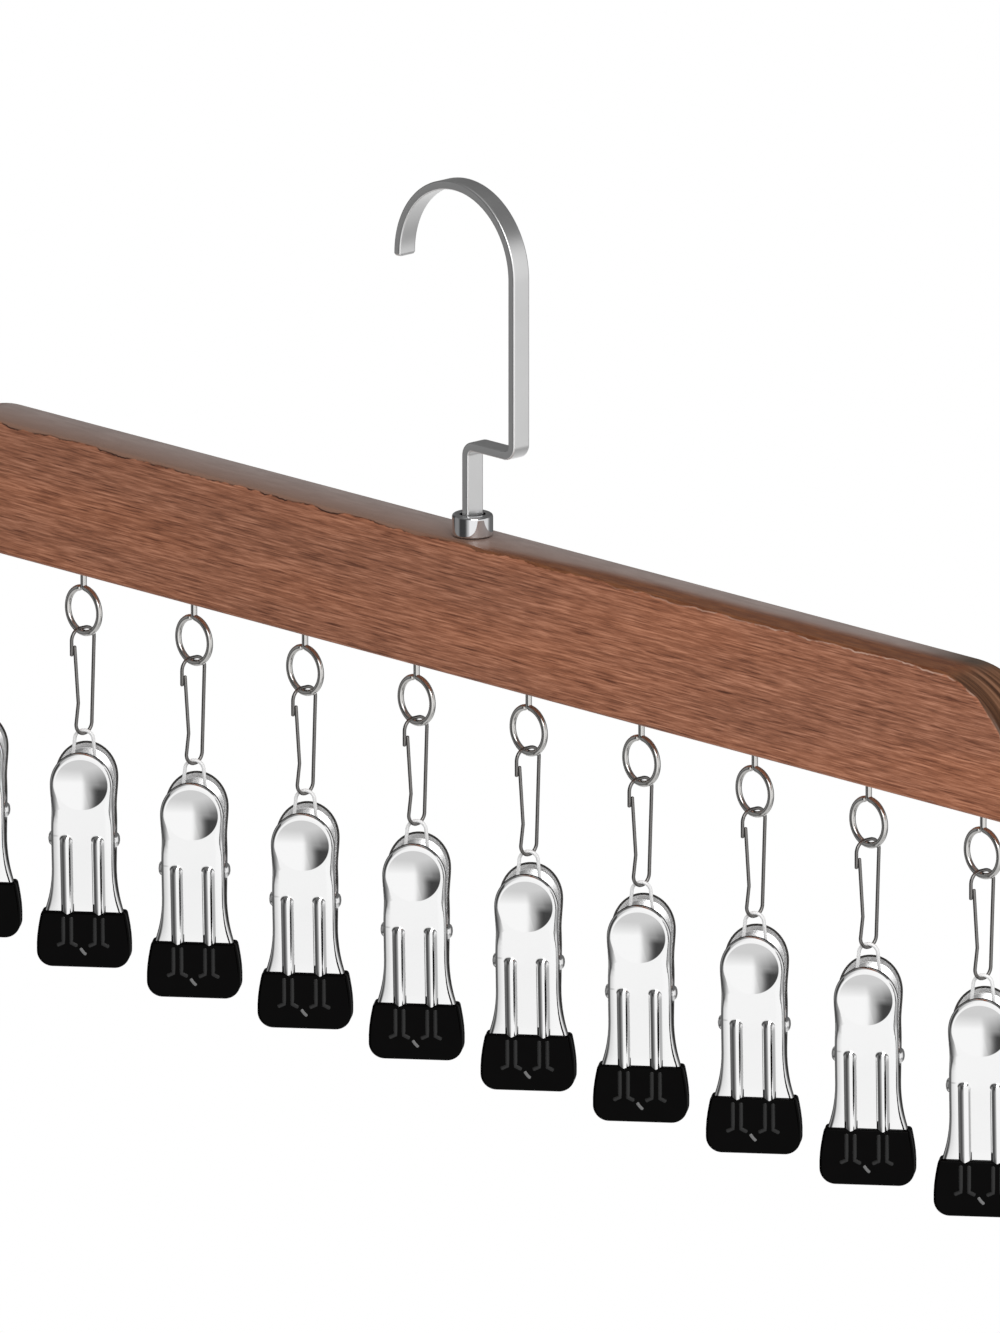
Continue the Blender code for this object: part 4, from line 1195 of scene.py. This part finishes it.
def ear(edit, plate, chosen, side, outer):
    """A lobe from the plate to round the pivot. The rear plate's outer pair turns on the pins."""
    sheet = chosen.sheet
    inside = EAR_START if outer else sheet / 2
    root = chosen.ear_root
    shape = arc((0, 0), chosen.ear, -60, 60, 16)
    ends = [
        (inside - plate.spread(chosen.pivot_depth - root), root),
        (inside - plate.spread(chosen.pivot_depth + root), -root),
    ]
    joints = [shape[-1], *ends, shape[0]]
    for first, second in zip(joints, joints[1:]):
        shape += [Vector(first).lerp(Vector(second), part / 6) for part in range(1, 6)]
        shape += [second] if second is not shape[0] else []
    hole = chosen.pin + (EAR_ROOM if outer else -PIN_SINK)
    inset = EAR_SINK if outer else sheet + EAR_ROOM
    far = chosen.body - inset
    levels = [side * far, side * (far - sheet)]
    loops = []
    for x in levels:
        outside = [edit.verts.new((x, y, z)) for y, z in shape]
        pierced = [Vector(place).normalized() * hole for place in shape]
        loops.append((outside, [edit.verts.new((x, p.x, p.y)) for p in pierced]))
    (out_a, in_a), (out_b, in_b) = loops
    bridge(edit, out_a, in_a)
    bridge(edit, in_a, in_b)
    bridge(edit, in_b, out_b)
    bridge(edit, out_b, out_a)


# A pin from its middle outwards: its root, in its radii and mm from the plate's side, and its low
# domed head, in mm.
PIN_ROOT = ((0, -2.0), (1.1, -1.95), (1.25, -1.75), (1.2, -1.6), (1, -1.55), (1, 0.02))
PIN_HEAD = (
    (2.10, 0.05), (2.18, 0.18), (2.02, 0.45), (1.70, 0.85), (1.15, 1.12), (0.50, 1.24), (0, 1.27),
)


def pivot_pin(edit, chosen, side):
    """A swaged pin with its head outside the outer ear."""
    shape = [(chosen.pin * radius, chosen.body + out * MM) for radius, out in PIN_ROOT]
    shape += [(radius * MM, chosen.body + out * MM) for radius, out in PIN_HEAD]
    turned(edit, shape, 24, Matrix.Rotation(math.radians(90 * side), 4, "Y"))


class ClipHangerPlates(bpy.types.Operator):
    """The two pressed plates of each clip, with ears, pins, thumb dimple and ribs"""

    bl_idname = "clip_hanger.plates"
    bl_label = "Clip plates"

    def execute(self, context):
        chosen = settings().clip
        meshes = {}
        for side in ("front", "rear"):
            edit = bmesh.new()
            plate = Plate(chosen)
            plate.build(edit)
            for hand in (-1, 1):
                ear(edit, plate, chosen, hand, side == "rear")
                if side == "front":
                    pivot_pin(edit, chosen, hand)
            mesh = mesh_of(edit, f"{side}_plate")
            for finish in ("bright sheet", "dull sheet", "edge painted shade"):
                mesh.materials.append(metal(finish))
            meshes[side] = shaded(mesh, 38)
        for name, side, place in jaws():
            body, nodes = f"{name}_{side}", [f"{name}_{side}_jaw"]
            piece(f"{body}_plate", meshes[side], None, body, nodes, place)
        return {"FINISHED"}


class ClipHangerSprings(bpy.types.Operator):
    """The torsion spring of each clip, in two halves set with the two jaws"""

    bl_idname = "clip_hanger.springs"
    bl_label = "Springs"
    LEG_GAP = 0.05 * MM

    def execute(self, context):
        chosen = settings().spring
        plate = Plate(settings().clip)
        path = self.half_path(chosen, plate)
        for name, side, place in jaws():
            body, nodes = f"{name}_{side}", [f"{name}_{side}_jaw"]
            mesh = wire(f"{body}_spring", path, chosen.wire, 10)
            mesh.transform(place)
            half = piece(mesh.name, mesh, metal("spring wire"), None, nodes)
            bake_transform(half)
        return {"FINISHED"}

    def half_path(self, chosen, plate):
        """From the coil's middle out to the leg that lies on the plate."""
        turns, count = chosen.half_turns, 36
        path = []
        for number in range(count + 1):
            share = number / count
            angle = math.pi + 2 * math.pi * turns * (1 - share)
            y, z = chosen.coil * math.cos(angle), chosen.coil * math.sin(angle)
            path.append((-chosen.half_width * share, y, z))
        for height in (chosen.leg - chosen.rest, chosen.leg - chosen.rest / 2, chosen.leg):
            depth = plate.c.pivot_depth - height
            rest = plate.c.sheet + chosen.wire + self.LEG_GAP - plate.spread(depth)
            path.append((-chosen.half_width, rest, height))
        return path


def grip_outline(chosen):
    """The sleeve's outline in XZ about the pivot."""
    pivot = settings().clip.pivot_depth
    half, corner = chosen.half, chosen.corner
    right = arc((half - corner, pivot - chosen.bottom + corner), corner, -90, 0, 12)
    rise = chosen.widest - chosen.top
    for share in (0.0, 0.25, 0.5, 0.75, 1.0):
        width = half + (chosen.top_half - half) * share**1.6
        right.append((width, pivot - chosen.widest + rise * share))
    return right + [(-x, z) for x, z in reversed(right)]


class ClipHangerGrips(bpy.types.Operator):
    """The glossy rubber sleeve on the foot of each plate, with its ribs showing through"""

    bl_idname = "clip_hanger.grips"
    bl_label = "Grips"
    # The raised lines: their start under the sleeve's edge, then the depth of their foot and how
    # far over it they bend, run outwards and end lower, in mm, and their place on a rib.
    BEAD_START, BEAD_FOOT, BEAD_BEND, BEAD_OUT, BEAD_END = 1.6, 55.4, 1.2, 1.5, 0.7
    BEAD_SHARE = 0.62
    # The nub across and up from the pivot, and its reach to a side, in mm.
    NUB = ((-0.6, -57.0), (-0.25, -57.5), (0.15, -58.0), (0.7, -58.5))
    NUB_REACH = 1.4
    # Faces that stand out further than this are raised.
    RAISED = 0.03 * MM

    def execute(self, context):
        chosen, clip = settings().grip, settings().clip
        block = slab(grip_outline(chosen), -chosen.front, -chosen.back, "grip")
        block = rounded(block, chosen.edge, 4, 50)
        changes = [("UNION", mesh) for mesh in self.beads(chosen, clip)]
        changes.append(("DIFFERENCE", self.slot_mesh(chosen, clip)))
        mesh = shaded(combined(block, *changes), 40)
        for finish in RUBBERS:
            mesh.materials.append(rubber(finish))
        # Raised lines get a painted sheen, and the nub a brighter painted highlight.
        for face in mesh.polygons:
            if face.center.y < -chosen.front - self.RAISED:
                face.material_index = 2 if abs(face.center.x) < self.NUB_REACH * MM else 1
        for name, side, place in jaws():
            body, nodes = f"{name}_{side}", [f"{name}_{side}_grip"]
            piece(f"{body}_sleeve", mesh, None, body, nodes, place)
        return {"FINISHED"}

    def slot_mesh(self, chosen, clip):
        pivot, room = clip.pivot_depth, chosen.clearance
        plate = Plate(clip)
        depths = [depth for depth in plate.depths if depth > chosen.top]
        right = [(plate.half_width(depth) + room, pivot - depth) for depth in depths[::-1]]
        right[0] = (right[0][0], pivot - clip.height - room)
        right.append((right[-1][0], pivot - chosen.top + 2 * MM))
        outline = right + [(-x, z) for x, z in reversed(right)]
        low = -clip.foot_spread - room
        return slab(outline, low, low + clip.sheet + 2 * room, "slot")

    def beads(self, chosen, clip):
        """Raised lines over the edges of the plate's ribs, and a small moulded nub."""
        pivot, meshes = clip.pivot_depth, []
        high, low = pivot - chosen.top - self.BEAD_START * MM, pivot - self.BEAD_FOOT * MM
        for side in (-1, 1):
            for edge in (-1, 1):
                x = side * clip.rib_offset + edge * clip.rib * self.BEAD_SHARE
                path = [(x, 0, z) for z in (high, low + self.BEAD_BEND * MM, low)]
                path.append((x + edge * self.BEAD_OUT * MM, 0, low - self.BEAD_END * MM))
                meshes.append(wire("bead", path, chosen.bead, 10))
        path = [(x * MM, 0, pivot + z * MM) for x, z in self.NUB]
        meshes.append(wire("nub", path, chosen.bead * 0.8, 10))
        for mesh in meshes:
            for vertex in mesh.vertices:
                vertex.co.y *= chosen.bead_rise / chosen.bead
                vertex.co.y -= chosen.front
        return meshes


class ClipHangerPanel(bpy.types.Panel):
    """Lists the steps that build the hanger's looks"""

    bl_idname = "VIEW3D_PT_clip_hanger"
    bl_label = "Clip Hanger"
    bl_space_type = "VIEW_3D"
    bl_region_type = "UI"
    bl_category = "Clip Hanger"

    def draw(self, context):
        for operator in OPERATORS:
            self.layout.operator(operator.bl_idname)
        chosen = context.scene.clip_hanger
        for name in HangerSettings.__annotations__:
            box = self.layout.box()
            box.label(text=name.capitalize())
            group = getattr(chosen, name)
            for key in group.bl_rna.properties.keys():
                if key not in ("rna_type", "name"):
                    box.prop(group, key)


OPERATORS = (
    ClipHangerStage, ClipHangerBar, ClipHangerHook, ClipHangerCollar, ClipHangerEyes,
    ClipHangerLinks, ClipHangerPlates, ClipHangerSprings, ClipHangerGrips,
)
SETTINGS = (
    BarSettings, HookSettings, EyeSettings, LinkSettings, ClipSettings, SpringSettings,
    GripSettings, StageSettings, HangerSettings,
)


def register():
    for kind in (*SETTINGS, *OPERATORS, ClipHangerPanel):
        bpy.utils.register_class(kind)
    bpy.types.Scene.clip_hanger = PointerProperty(type=HangerSettings)


def unregister():
    del bpy.types.Scene.clip_hanger
    for kind in reversed((*SETTINGS, *OPERATORS, ClipHangerPanel)):
        bpy.utils.unregister_class(kind)


def main():
    register()
    for name in ("stage", "bar", "hook", "collar", "eyes", "links", "plates", "springs", "grips"):
        getattr(bpy.ops.clip_hanger, name)()


if __name__ == "__main__":
    main()
